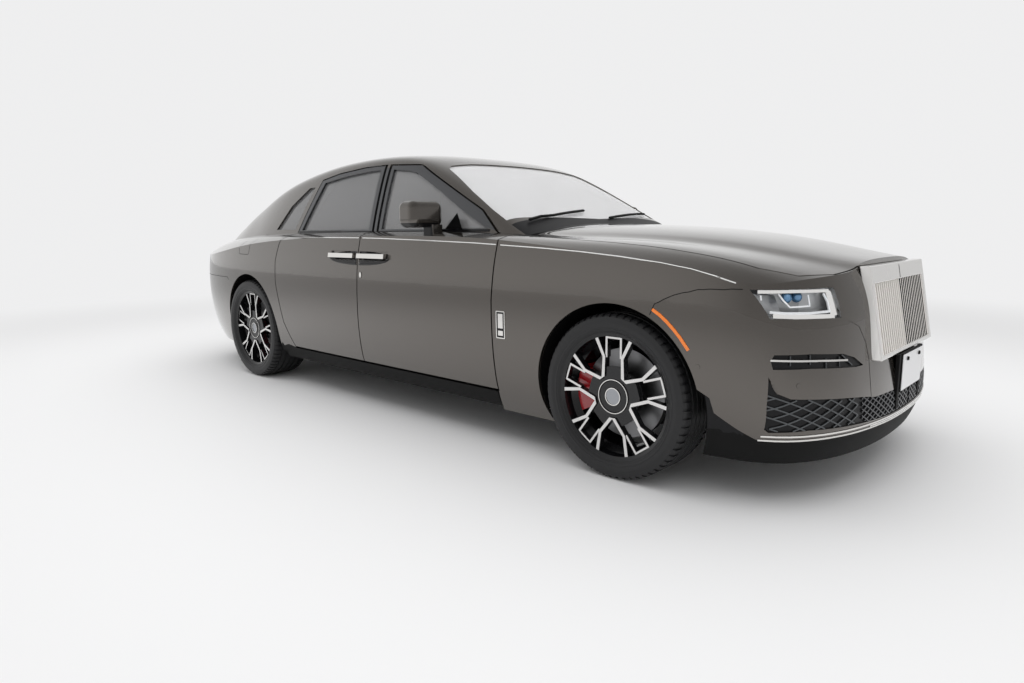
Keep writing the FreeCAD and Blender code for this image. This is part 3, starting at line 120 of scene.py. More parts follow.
class SaloonStage(bpy.types.PropertyGroup):
    lens: FloatProperty(
        name="Lens", description="Focal length on a 36 mm wide sensor, in millimetres",
        default=23.914)
    camera_place: FloatVectorProperty(
        name="Camera place", description="Where the photograph was taken from",
        default=(3.5023, -3.3267, 1.0883), subtype="TRANSLATION", unit="LENGTH")
    camera_yaw: FloatProperty(
        name="Yaw", description="Heading of the camera from +X",
        default=math.radians(133.377), subtype="ANGLE")
    camera_pitch: FloatProperty(
        name="Pitch", description="Tilt of the camera above the horizon",
        default=math.radians(-9.402), subtype="ANGLE")
    camera_roll: FloatProperty(
        name="Roll", description="Lean of the camera",
        default=math.radians(-0.620), subtype="ANGLE")
    floor_size: FloatProperty(
        name="Floor size", description="Side of the pale floor",
        default=400.0, unit="LENGTH")
    fade_start: FloatProperty(
        name="Fade start", description="Where the floor starts to turn into the background",
        default=4.0, unit="LENGTH")
    fade_end: FloatProperty(
        name="Fade end", description="Where the floor is all background",
        default=9.0, unit="LENGTH")
    lamp_power: FloatProperty(
        name="Lamp power", description="Power of the ceiling panel", default=262.0,
        unit="POWER")
    lamp_height: FloatProperty(
        name="Lamp height", description="Height of the ceiling panel", default=4.2,
        unit="LENGTH")


# Materials

MATERIALS = {}


def new_material(name):
    """Lists a new material and returns its nodes and links."""
    material = bpy.data.materials.new(name)
    material.use_nodes = True
    MATERIALS[name] = material
    return material.node_tree.nodes, material.node_tree.links


def plain(name, colour, metallic=0.0, roughness=0.5, **sockets):
    """A one-finish material. Sockets are named with spaces as underscores."""
    nodes, _ = new_material(name)
    shader = nodes["Principled BSDF"]
    shader.inputs["Base Color"].default_value = (*colour, 1)
    shader.inputs["Metallic"].default_value = metallic
    shader.inputs["Roughness"].default_value = roughness
    for socket, value in sockets.items():
        shader.inputs[socket.replace("_", " ")].default_value = value


def make_materials():
    finishes = bpy.context.scene.saloon_finishes
    plain("paint", finishes.paint, 0.85, 0.16, Coat_Weight=1.0, Coat_Roughness=0.0)
    plain("bright", (0.80, 0.785, 0.76), 1.0, 0.08)
    # Painted reflection: a pale non-metallic cream stands in for the bright reflection on the
    # metal grille vanes.
    plain("vane_painted_reflection", (0.95, 0.91, 0.86), 0.0, 0.30)
    plain("frame_bright", (0.90, 0.885, 0.865), 0.6, 0.15, Coat_Weight=0.5)
    plain("dark_trim", (0.006, 0.006, 0.007), 0.0, 0.40, Specular_IOR_Level=0.25)
    plain("satin_trim", (0.12, 0.122, 0.127), 0.85, 0.30)
    plain("mesh_grey", (0.10, 0.105, 0.11), 0.8, 0.30)
    plain("coach_line", (0.80, 0.80, 0.79), 0.0, 0.20, Coat_Weight=1.0)
    plain("gloss_black", (0.004, 0.004, 0.005), 0.0, 0.12, Specular_IOR_Level=0.35)
    plain("mat_black", (0.006, 0.006, 0.006), 0.0, 0.60, Specular_IOR_Level=0.15)
    plain("lamp_glass", (0.97, 0.98, 0.99), 0.0, 0.0, Transmission_Weight=1.0, IOR=1.1)
    plain("lamp_bowl", (0.46, 0.465, 0.47), 0.5, 0.30)
    plain("projector", (0.10, 0.24, 0.42), 0.4, 0.06, Coat_Weight=1.0)
    plain("light_guide", (0.90, 0.91, 0.92), 0.0, 0.25)
    plain("tail_glass", (0.35, 0.004, 0.006), 0.0, 0.05, Coat_Weight=1.0)
    # Painted reflection: half of the windscreen is a pale diffuse finish standing in for the
    # reflected ceiling, and the other half lets light through.
    plain("screen_glass", (0.93, 0.93, 0.94), 0.0, 0.0, Transmission_Weight=0.52, IOR=1.5)
    # Side windows: the grey tints the light let through. On the rest of the glass it is a
    # diffuse finish, a painted reflection of the room.
    plain("side_glass", finishes.glass, 0.0, 0.0, Transmission_Weight=0.62, IOR=1.7)
    plain("dark_glass", (0.34, 0.34, 0.345), 0.0, 0.0, Transmission_Weight=0.55, IOR=1.6)
    plain("cabin_trim", (0.16, 0.155, 0.15), 0.0, 0.5)
    plain("hide", finishes.hide, 0.0, 0.45)
    plain("iron", (0.10, 0.10, 0.105), 0.7, 0.5)
    plain("steel", (0.22, 0.22, 0.225), 1.0, 0.35)
    plain("underbody", (0.010, 0.010, 0.011), 0.0, 0.7, Specular_IOR_Level=0.2)
    plain("liner", (0.006, 0.006, 0.006), 0.0, 0.9, Specular_IOR_Level=0.1)
    plain("brake_parts", (0.20, 0.20, 0.21), 0.9, 0.4)
    plain("tyre", (0.014, 0.014, 0.015), 0.0, 0.45, Specular_IOR_Level=0.4)
    plain("alloy", (0.006, 0.006, 0.007), 0.0, 0.20, Specular_IOR_Level=0.5)
    plain("cap_silver", (0.34, 0.35, 0.37), 1.0, 0.15)
    plain("machined", (0.74, 0.73, 0.72), 1.0, 0.24)
    plain("caliper_red", finishes.caliper, 0.0, 0.2, Coat_Weight=1.0)
    plain("amber", (0.95, 0.22, 0.01), 0.0, 0.15, Coat_Weight=1.0)
    plain("plate_white", (0.78, 0.78, 0.79), 0.0, 0.35, Coat_Weight=0.5)


def coat(obj, *names):
    """Gives obj these materials in order and no others."""
    obj.data.materials.clear()
    for name in names:
        obj.data.materials.append(MATERIALS[name])


def repaint(node, test, name):
    """Polygons of a CAD node that pass a test take another finish."""
    mesh = NODES[node].data
    mesh.materials.append(MATERIALS[name])
    place = len(mesh.materials) - 1
    for polygon in mesh.polygons:
        if test(polygon.center, polygon.normal):
            polygon.material_index = place


def inward(at, out, share):
    """True for a face that turns to the car's middle by more than a share."""
    return out.y * at.y < 0 and abs(out.y) > share


def joined(nodes, links, operation, one, two):
    """Two values joined by a math node."""
    node = nodes.new("ShaderNodeMath")
    node.operation = operation
    links.new(one, node.inputs[0])
    links.new(two, node.inputs[1])
    return node.outputs[0]


def mixed(nodes, links, share, one, two):
    """Two shaders mixed by a share."""
    node = nodes.new("ShaderNodeMixShader")
    for source, socket in zip((share, one, two), node.inputs):
        links.new(source, socket)
    return node.outputs[0]


def faded(nodes, links, source, low, high, least=0.0, most=1.0):
    """A smooth step between two values."""
    node = nodes.new("ShaderNodeMapRange")
    node.interpolation_type = "SMOOTHSTEP"
    for socket, value in (("From Min", low), ("From Max", high), ("To Min", least),
                          ("To Max", most)):
        node.inputs[socket].default_value = value
    links.new(source, node.inputs["Value"])
    return node.outputs["Result"]


def seen_rays(nodes, links, paths):
    """1 for rays from the camera or through glass."""
    return joined(nodes, links, "MAXIMUM", paths.outputs["Is Camera Ray"],
                  paths.outputs["Is Transmission Ray"])


# Shapes

def add_piece(name, shape, body, *finishes, smooth=False):
    """Makes a piece from a bmesh and lets it ride a CAD body."""
    mesh = bpy.data.meshes.new(name)
    bmesh.ops.recalc_face_normals(shape, faces=shape.faces)
    shape.to_mesh(mesh)
    shape.free()
    piece = bpy.data.objects.new(name, mesh)
    bpy.context.scene.collection.objects.link(piece)
    coat(piece, *finishes)
    if smooth:
        mesh.polygons.foreach_set("use_smooth", [True] * len(mesh.polygons))
    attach(piece, body)
    return piece


class Skin:
    """Finds where straight lines meet some CAD nodes."""

    def __init__(self, *names):
        places, faces = [], []
        for name in names:
            mesh = NODES[name].data
            first = len(places)
            places.extend(vertex.co.copy() for vertex in mesh.vertices)
            faces.extend([first + corner for corner in face.vertices] for face in mesh.polygons)
        self.tree = BVHTree.FromPolygons(places, faces)

    def meet(self, start, heading):
        """Place and normal of the first hit, or None beside the surface."""
        place, normal, _, _ = self.tree.ray_cast(Vector(start), Vector(heading))
        if place is None:
            return None
        if normal.dot(Vector(heading)) > 0:
            normal = -normal
        return place, normal

    def front(self, y, z):
        return self.meet((4, y, z), (-1, 0, 0))

    def flank(self, x, z, side):
        return self.meet((x, side * 3, z), (0, -side, 0))

    def rear(self, y, z):
        return self.meet((-4, y, z), (1, 0, 0))

    def above(self, x, y):
        return self.meet((x, y, 4), (0, 0, -1))


def dense(points, step):
    """Points along a broken line, no further apart than a step."""
    made = [tuple(points[0])]
    for start, end in zip(points, points[1:]):
        gap = math.dist(start, end)
        count = max(1, math.ceil(gap / step))
        for place in range(1, count + 1):
            share = place / count
            made.append(tuple(a + (b - a) * share for a, b in zip(start, end)))
    return made


def section(shape, point, across, out, along, width, thick, cap):
    """The corners of a rectangle that stands across a line."""
    basis = Matrix((across * width / 2, out * thick / 2, along)).transposed().to_4x4()
    made = bmesh.ops.create_circle(
        shape, cap_ends=cap, segments=4, radius=math.sqrt(2),
        matrix=Matrix.Translation(point) @ basis @ Matrix.Rotation(math.pi / 4, 4, "Z"))
    return made["verts"]


def sweep(shape, marks, width, thick):
    """Sweeps a rectangular strip through (place, normal) marks."""
    last = len(marks) - 1
    rings = []
    for place, (point, normal) in enumerate(marks):
        before = marks[max(place - 1, 0)][0]
        after = marks[min(place + 1, last)][0]
        along = (after - before).normalized()
        across = along.cross(normal).normalized()
        out = across.cross(along).normalized()
        corners = section(shape, point, across, out, along, width, thick, place in (0, last))
        near = {edge for vertex in corners for edge in vertex.link_edges}
        rings.append([edge for edge in near if all(v in corners for v in edge.verts)])
    for one, two in zip(rings, rings[1:]):
        bmesh.ops.bridge_loops(shape, edges=one + two)


def lifted(hits, lift):
    """The hits that lie on the surface, moved out from it."""
    marks = [(hit[0] + hit[1] * lift, hit[1]) for hit in hits if hit]
    if len(marks) < 2:
        raise RuntimeError("A strip lies beside its surface")
    return marks


def front_strip(shape, skin, points, width, thick, lift=0.0, step=0.03, side=1):
    """A strip on the nose along (y, z) points."""
    hits = [skin.front(side * y, z) for y, z in dense(points, step)]
    sweep(shape, lifted(hits, lift), width, thick)


def rear_strip(shape, skin, points, width, thick, lift=0.0, step=0.03):
    """A strip on the tail along (y, z) points."""
    hits = [skin.rear(y, z) for y, z in dense(points, step)]
    sweep(shape, lifted(hits, lift), width, thick)


def flank_strip(shape, skin, points, width, thick, lift=0.0, step=0.04, side=1):
    """A strip on the flank along (x, z) points."""
    hits = [skin.flank(x, z, side) for x, z in dense(points, step)]
    sweep(shape, lifted(hits, lift), width, thick)


def oval(skin, centre, reach, side, lift, thick, cut=None):
    """An oval plate laid on the flank, cut off at x where cut = (x, 1 or -1) says."""
    shape = bmesh.new()
    bmesh.ops.create_grid(shape, x_segments=32, y_segments=6, size=1)
    for vertex in shape.verts:
        u, v = vertex.co.x, vertex.co.y
        vertex.co = (centre[0] + reach[0] * u * math.sqrt(1 - v * v / 2), 0,
                     centre[1] + reach[1] * v * math.sqrt(1 - u * u / 2))
    if cut:
        bmesh.ops.bisect_plane(
            shape, geom=shape.verts[:] + shape.edges[:] + shape.faces[:],
            plane_co=(cut[0] + cut[1] * 0.004, 0, 0), plane_no=(-cut[1], 0, 0),
            clear_outer=True)
    outward = Vector((0, side, 0))
    beside = []
    for vertex in shape.verts:
        hit = skin.flank(vertex.co.x, vertex.co.z, side)
        if hit:
            vertex.co = hit[0] + hit[1] * lift
        else:
            beside.append(vertex)
    bmesh.ops.delete(shape, geom=beside, context="VERTS")
    bmesh.ops.recalc_face_normals(shape, faces=shape.faces)
    if sum(face.normal.dot(outward) for face in shape.faces) < 0:
        bmesh.ops.reverse_faces(shape, faces=shape.faces)
    bmesh.ops.solidify(shape, geom=shape.faces[:], thickness=-thick)
    return shape


def round_edges(shape, edges, width):
    bmesh.ops.bevel(
        shape, geom=edges, offset=width, offset_type="OFFSET", segments=3, profile=0.5,
        affect="EDGES", clamp_overlap=True, material=-1)


def box_piece(shape, low, high, soft):
    """A box between two corners, with softened edges."""
    low, high = Vector(low), Vector(high)
    scale = Matrix.Diagonal((*(high - low), 1))
    made = bmesh.ops.create_cube(
        shape, size=1, matrix=Matrix.Translation((low + high) / 2) @ scale)
    edges = list({edge for vertex in made["verts"] for edge in vertex.link_edges})
    round_edges(shape, edges, soft)


def softened(node, width, body, *finishes):
    """A copy of a CAD node with its sharp edges rounded, shown in its place."""
    shape = bmesh.new()
    shape.from_mesh(NODES[node].data)
    bmesh.ops.remove_doubles(shape, verts=shape.verts, dist=1e-5)
    bmesh.ops.dissolve_limit(
        shape, angle_limit=0.001, use_dissolve_boundaries=False, verts=shape.verts,
        edges=shape.edges)
    sharp = [edge for edge in shape.edges
             if edge.is_manifold and edge.calc_face_angle(0) > math.radians(30)]
    round_edges(shape, sharp, width)
    piece = add_piece(node + "_soft", shape, body, *finishes)
    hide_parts(node)


def ring_piece(shape, centre, heading, radius, width, thick, steps=96):
    """A flat ring: a rectangle turned round a line."""
    out = Vector(heading)
    across = out.orthogonal().normalized()
    corners = section(shape, centre + across * radius, across, out, out.cross(across),
                      width, thick, False)
    edges = list({edge for vertex in corners for edge in vertex.link_edges})
    bmesh.ops.spin(
        shape, geom=corners + edges, cent=centre, axis=out, angle=math.tau, steps=steps,
        use_merge=True)
    bmesh.ops.remove_doubles(shape, verts=shape.verts, dist=1e-5)


class SALOON_OT_finish_frame(bpy.types.Operator):
    """Gives each node of the frame its finish"""

    bl_idname = "saloon.finish_frame"
    bl_label = "Finish the frame"

    def execute(self, context):
        make_materials()
        subparts = {part["node"]: part for part in frame["record"]["subparts"]}
        for name, node in NODES.items():
            coat(node, subparts[name]["material_slot"])
        self.finish_glasshouse()
        self.finish_lamps()
        return {"FINISHED"}

    def finish_glasshouse(self):
        window_foot, lining_top = 1.085, 1.07
        shell_foot, shell_side, arm_top = 1.125, 0.935, 1.078
        for side in SIDES:
            for door in ("front_door_", "rear_door_"):
                repaint(door + side, lambda at, out: at.z > window_foot, "satin_trim")
                repaint(door + side, lambda at, out: (
                    at.z < lining_top and inward(at, out, 0.3)), "cabin_trim")
            repaint("door_mirror_" + side, lambda at, out: (
                at.z < shell_foot and abs(at.y) > shell_side or at.z < arm_top), "gloss_black")

        post_foot, post_top, post_back, post_front, post_side = 1.082, 1.46, -0.3, 0.05, 0.66

        def post(at, out):
            return (post_foot < at.z < post_top and post_back < at.x < post_front
                    and abs(at.y) > post_side)

        sill_top, sill_end, shadow_top, vane_front = 0.29, 1.5, 0.30, 2.63
        repaint("body_sides", post, "satin_trim")
        repaint("body_sides", lambda at, out: at.z < sill_top and abs(at.x) < sill_end,
                "mat_black")
        # Painted reflection: vane faces turned forward or outward take a pale cream that stands
        # in for the metal's bright reflection.
        repaint("grille_vanes", lambda at, out: (
            out.x > 0.3 and at.x > vane_front or out.y * at.y > 0), "vane_painted_reflection")
        # Painted shade: vane faces turned to the car's middle take gloss black, so the far half
        # of the grille looks dark.
        repaint("grille_vanes", lambda at, out: inward(at, out, 0.5), "gloss_black")
        repaint("lower_grilles", lambda at, out: at.z < shadow_top, "mat_black")
        for lid in ("hood", "boot_lid"):
            repaint(lid, lambda at, out: out.z < -0.5, "liner")
        repaint("roof_panel", lambda at, out: out.z < -0.5, "hide")

    def finish_lamps(self):
        ahead, aside, facing = 0.8, 0.6, 0.35

        def inner(at, out):
            return out.x * ahead + out.y * math.copysign(aside, at.y) < facing

        repaint("headlamps", inner, "lamp_bowl")


class SALOON_OT_finish_wheels(bpy.types.Operator):
    """Machines the spokes, rings the caps and paints the calipers"""

    bl_idname = "saloon.finish_wheels"
    bl_label = "Finish the wheels"

    def execute(self, context):
        for corner in CORNERS:
            self.finish_corner(corner)
        return {"FINISHED"}

    def finish_corner(self, corner):
        node = corner + "_wheel"
        low, high, centre = span(node)
        side = SIDES[corner.split("_")[1]]
        face = high.y if side > 0 else low.y
        half = (high.y - low.y) / 2
        hub, disc, cap, spoke_back, spoke_front = 0.085, 0.202, 0.0365, -0.0145, -0.006

        def place_of(at):
            return math.hypot(at.x - centre.x, at.z - centre.z), (at.y - face) * side

        def spoke_face(at, out):
            radius, depth = place_of(at)
            return out.y * side > 0.98 and radius > hub and spoke_back < depth < spoke_front

        def disc_face(at, out):
            radius, depth = place_of(at)
            return hub < radius < disc and depth < -half * 0.75

        def cap_face(at, out):
            radius, depth = place_of(at)
            return out.y * side > 0.5 and radius < cap and depth > spoke_back

        repaint(node, spoke_face, "machined")
        repaint(node, disc_face, "steel")
        repaint(node, cap_face, "cap_silver")
        middle = Vector((centre.x, face - side * 0.0115, centre.z))
        shape = bmesh.new()
        ring_piece(shape, middle, (0, side, 0), 0.0745, 0.0032, 0.004)
        ring_piece(shape, middle, (0, side, 0), 0.0375, 0.0035, 0.006)
        add_piece(corner + "_cap_rings", shape, "wheel_" + corner, "bright")
        carrier = "front_knuckle_" + corner.split("_")[1]
        if corner.startswith("rear"):
            carrier = "rear_suspension"
        back = -1 if corner.startswith("front") else 1
        jaw_low, jaw_high, jaw_reach, jaw_side = 0.14, 0.235, 0.05, 0.70

        def caliper(at, out):
            radius, _ = place_of(at)
            return (jaw_low < radius < jaw_high and (at.x - centre.x) * back > jaw_reach
                    and at.y * side > jaw_side)

        repaint(carrier, caliper, "caliper_red")


class SALOON_OT_add_tyres(bpy.types.Operator):
    """Turns the four tyres with ribs, grooves and cross grooves"""

    bl_idname = "saloon.add_tyres"
    bl_label = "Add tyres"

    def execute(self, context):
        settings = context.scene.saloon_tyres
        for corner in CORNERS:
            self.add_tyre(corner, settings)
        return {"FINISHED"}

    groove_shares = (0.0, 0.36, 0.72)
    # Sidewall as shares of the half width and of the wall's height below the tread
    wall_shares = (
        (0.88, 0.06), (0.94, 0.135), (0.965, 0.19), (0.972, 0.20), (0.985, 0.30), (1.0, 0.45),
        (1.003, 0.52), (0.998, 0.60), (0.985, 0.72), (0.990, 0.75), (0.990, 0.80),
        (0.975, 0.83), (0.950, 0.93))

    def outline(self, half, outer, inner, depth):
        """Half of the section: (across, radius) from the tread's middle to the bead."""
        wall = outer - inner
        tread = half * 0.80
        lip = 0.0045
        points = []
        for share in self.groove_shares:
            a = tread * share
            if share:
                points += [(a - lip, outer), (a - lip * 0.7, outer - depth),
                           (a + lip * 0.7, outer - depth), (a + lip, outer)]
            else:
                points += [(lip * 0.7, outer - depth), (lip, outer)]
        points += [(tread * 0.86, outer - 0.0004), (tread, outer - 0.0016)]
        points += [(half * out, outer - wall * down) for out, down in self.wall_shares]
        points += [(half * 0.915, inner + 0.0006), (half * 0.890, inner - 0.004)]
        return points

    def add_tyre(self, corner, settings):
        node = corner + "_tyre"
        low, high, centre = span(node)
        half = (high.y - low.y) / 2
        outer = (high.z - low.z) / 2
        right = self.outline(half, outer - 0.0001, RIM_RADIUS, settings.groove_depth)
        section = [(-across, radius) for across, radius in reversed(right)] + right
        shape = bmesh.new()
        first = bmesh.ops.create_vert(
            shape, co=centre + Vector((0, section[0][0], section[0][1])))["vert"]
        line = list(first)
        for across, radius in section[1:]:
            grown = bmesh.ops.extrude_vert_indiv(shape, verts=[line[-1]])
            line.append(grown["verts"][0])
            grown["verts"][0].co = centre + Vector((0, across, radius))
        bmesh.ops.spin(
            shape, geom=line + shape.edges[:], cent=centre, axis=(0, 1, 0), angle=math.tau,
            steps=settings.segments, use_merge=True)
        bmesh.ops.remove_doubles(shape, verts=shape.verts, dist=1e-5)
        bmesh.ops.recalc_face_normals(shape, faces=shape.faces)
        step = math.tau / settings.segments
        low_share, high_share, block_share = 0.60, 0.97, 0.185
        cuts = []
        for face in shape.faces:
            at = face.calc_center_median() - centre
            across = abs(at.y)
            if not half * low_share < across < half * high_share:
                continue
            if math.hypot(at.x, at.z) < outer - (outer - RIM_RADIUS) * block_share:
                continue
            if round(math.atan2(at.z, at.x) / step - 0.5) % settings.sipe_every == 0:
                cuts.append(face)
        bmesh.ops.inset_region(shape, faces=cuts, thickness=0.0, use_boundary=True)
        corners = {vertex for face in cuts for vertex in face.verts}
        for vertex in corners:
            at = vertex.co - centre
            radius = math.hypot(at.x, at.z)
            share = (radius - settings.groove_depth * 0.9) / radius
            vertex.co = centre + Vector((at.x * share, at.y, at.z * share))
        tyre = add_piece(corner + "_tread", shape, "wheel_" + corner, "tyre")
        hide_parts(node)


class SALOON_OT_dress_nose(bpy.types.Operator):
    """Adds the lamps' insides, bright lines, grille mesh, plate and sensors"""

    bl_idname = "saloon.dress_nose"
    bl_label = "Dress the nose"

    def execute(self, context):
        settings = context.scene.saloon_trim
        for word, side in SIDES.items():
            self.add_lamp(word, side)
            self.add_slot(word, side, settings)
            self.add_marker(word, side)
        self.add_grille()
        self.add_mesh(settings)
        self.add_lip(settings)
        self.add_plate(settings)
        self.add_sensors()
        return {"FINISHED"}

    def add_lamp(self, word, side):
        skin = Skin("headlamps")
        guide = bmesh.new()
        front_strip(guide, skin, ((0.843, 0.843), (0.832, 0.818), (0.815, 0.793),
                                  (0.780, 0.794), (0.739, 0.795), (0.737, 0.836)),
                    0.006, 0.005, -0.012, 0.012, side)
        front_strip(guide, skin, ((0.875, 0.776), (0.835, 0.771), (0.744, 0.768),
                                  (0.649, 0.770)), 0.009, 0.006, -0.008, 0.02, side)
        front_strip(guide, skin, ((0.654, 0.770), (0.657, 0.809), (0.668, 0.838)),
                    0.008, 0.006, -0.008, 0.02, side)
        front_strip(guide, skin, ((0.888, 0.838), (0.889, 0.819)), 0.006, 0.005, -0.010,
                    0.01, side)
        add_piece("light_guide_" + word, guide, "body", "light_guide")
        bezel = bmesh.new()
        front_strip(bezel, skin, ((0.626, 0.752), (0.630, 0.846)), 0.044, 0.010, -0.016,
                    0.02, side)
        front_strip(bezel, skin, ((0.886, 0.764), (0.760, 0.755), (0.630, 0.749)), 0.018,
                    0.008, -0.010, 0.02, side)
        front_strip(bezel, skin, ((0.893, 0.850), (0.800, 0.850), (0.640, 0.846)), 0.012,
                    0.008, -0.006, 0.02, side)
        add_piece("lamp_bezel_" + word, bezel, "body", "bright")
        place, _ = skin.front(side * 0.785, 0.824)
        heading = Vector((0.94, side * 0.34, 0)).normalized()
        across = Vector((-heading.y, heading.x, 0))
        shape = bmesh.new()
        for off in (0.026, -0.026):
            bmesh.ops.create_uvsphere(
                shape, u_segments=32, v_segments=16, radius=0.021,
                matrix=Matrix.Translation(place - heading * 0.036 + across * off))
        add_piece("lamp_projectors_" + word, shape, "body", "projector", smooth=True)

    def add_slot(self, word, side, settings):
        skin = Skin("lower_grilles")
        bar = bmesh.new()
        front_strip(bar, skin, ((0.872, 0.598), (0.700, 0.587), (0.578, 0.577)),
                    settings.line_width * 0.8, 0.010, 0.008, 0.02, side)
        add_piece("slot_bar_" + word, bar, "body", "bright")
        ribs = bmesh.new()
        for y in (0.820, 0.752, 0.684, 0.616):
            front_strip(ribs, skin, ((y, 0.556), (y, 0.612)), 0.004, 0.010, 0.001, 0.02, side)
        front_strip(ribs, skin, ((0.605, 0.600), (0.545, 0.553)), 0.005, 0.010, 0.003, 0.02,
                    side)
        add_piece("slot_ribs_" + word, ribs, "body", "mesh_grey")

    def add_marker(self, word, side):
        skin = Skin("front_bumper")
        shape = bmesh.new()
        flank_strip(shape, skin, ((2.052, 0.764), (2.086, 0.744), (2.118, 0.719),
                                  (2.148, 0.691), (2.176, 0.661), (2.212, 0.614)),
                    0.013, 0.006, 0.0, 0.02, side)
        add_piece("marker_" + word, shape, "body", "amber")

    def add_grille(self):
        softened("grille_frame", 0.005, "body", "frame_bright")
        shape = bmesh.new()
        front_strip(shape, Skin("grille_frame"), ((0, 0.918), (0, 0.862)), 0.0025, 0.002, 0.0,
                    0.03)
        add_piece("grille_split_line", shape, "body", "mat_black")

    def add_mesh(self, settings):
        pitch, rise = settings.mesh_pitch, settings.mesh_rise
        wide, tall = 1.65, 1.55
        for word, side in SIDES.items():
            middle = bmesh.new()
            self.add_lattice(middle, side, 0.012, 0.490, pitch, rise, 0.0045)
            add_piece("grille_lattice_" + word, middle, "body", "satin_trim")
            outer = bmesh.new()
            self.add_lattice(outer, side, 0.512, 0.880, pitch * wide, rise * tall, 0.0055)
            add_piece("grille_mesh_" + word, outer, "body", "mesh_grey")

    def add_lattice(self, shape, side, near, far, pitch, rise, wire):
        """Crossed zigzag wires where the opening shows."""
        grille, bumper = Skin("lower_grilles"), Skin("front_bumper")
        low, high = 0.312, 0.500
        steps = math.floor((far - near) / (pitch / 4))
        for row in range(math.ceil((high - low) / rise)):
            for phase in (0, 1):
                points = []
                for step in range(steps + 1):
                    wave = (step / 2 + phase * 2) % 4
                    points.append((near + step * pitch / 4, low + rise * (
                        row + (wave if wave < 2 else 4 - wave) / 2)))
                for run in self.shown_runs(points, grille, bumper, side, high):
                    if len(run) > 1:
                        front_strip(shape, grille, run, wire, 0.006, 0.003, 1, side)

    def shown_runs(self, points, grille, bumper, side, high):
        """Stretches of points below a height where the grille lies before the bumper."""
        run = []
        for y, z in points:
            behind, before = grille.front(side * y, z), bumper.front(side * y, z)
            if behind and z < high and (before is None or before[0].x < behind[0].x):
                run.append((y, z))
            else:
                yield run
                run = []
        yield run

    def add_lip(self, settings):
        skin = Skin("front_bumper", "lower_grilles")
        shape = bmesh.new()
        for z, reach in ((0.283, 0.868), (0.2915, 0.42), (0.300, 0.868)):
            front_strip(shape, skin, ((-reach, z), (reach, z)), settings.line_width * 0.8,
                        0.005, 0.001, 0.03)
        add_piece("lip_lines", shape, "body", "bright")

    def add_plate(self, settings):
        thick, width, height = settings.plate_size
        x, foot, arm, screw = 2.768, 0.392, 0.170, 0.092
        shape = bmesh.new()
        box_piece(shape, (x, -width / 2, foot), (x + thick, width / 2, foot + height), 0.001)
        add_piece("blank_plate", shape, "body", "plate_white")
        holder = bmesh.new()
        box_piece(holder, (x - 0.012, -width / 2 - 0.006, 0.386),
                  (x - 0.0005, width / 2 + 0.006, 0.398 + height), 0.002)
        for side in SIDES.values():
            box_piece(holder, (x - 0.020, side * arm - 0.016, 0.318),
                      (x - 0.004, side * arm + 0.016, 0.552), 0.003)
        add_piece("plate_holder", holder, "body", "mat_black")
        caps = bmesh.new()
        for side in SIDES.values():
            bmesh.ops.create_cone(
                caps, cap_ends=True, segments=24, radius1=0.009, radius2=0.008, depth=0.006,
                matrix=Matrix.Translation((x + thick + 0.003, side * screw, 0.525))
                @ Matrix.Rotation(math.pi / 2, 4, "Y"))
        add_piece("plate_screws", caps, "body", "mat_black")

    def add_sensors(self):
        skin = Skin("front_bumper")
        shape = bmesh.new()
        for side in SIDES.values():
            for place, normal in (skin.front(side * 0.798, 0.499),
                                  skin.flank(2.249, 0.553, side)):
                turn = normal.to_track_quat("Z", "Y").to_matrix().to_4x4()
                bmesh.ops.create_cone(
                    shape, cap_ends=True, segments=24, radius1=0.011, radius2=0.010,
                    depth=0.003, matrix=Matrix.Translation(place) @ turn)
        add_piece("park_sensors", shape, "body", "paint")


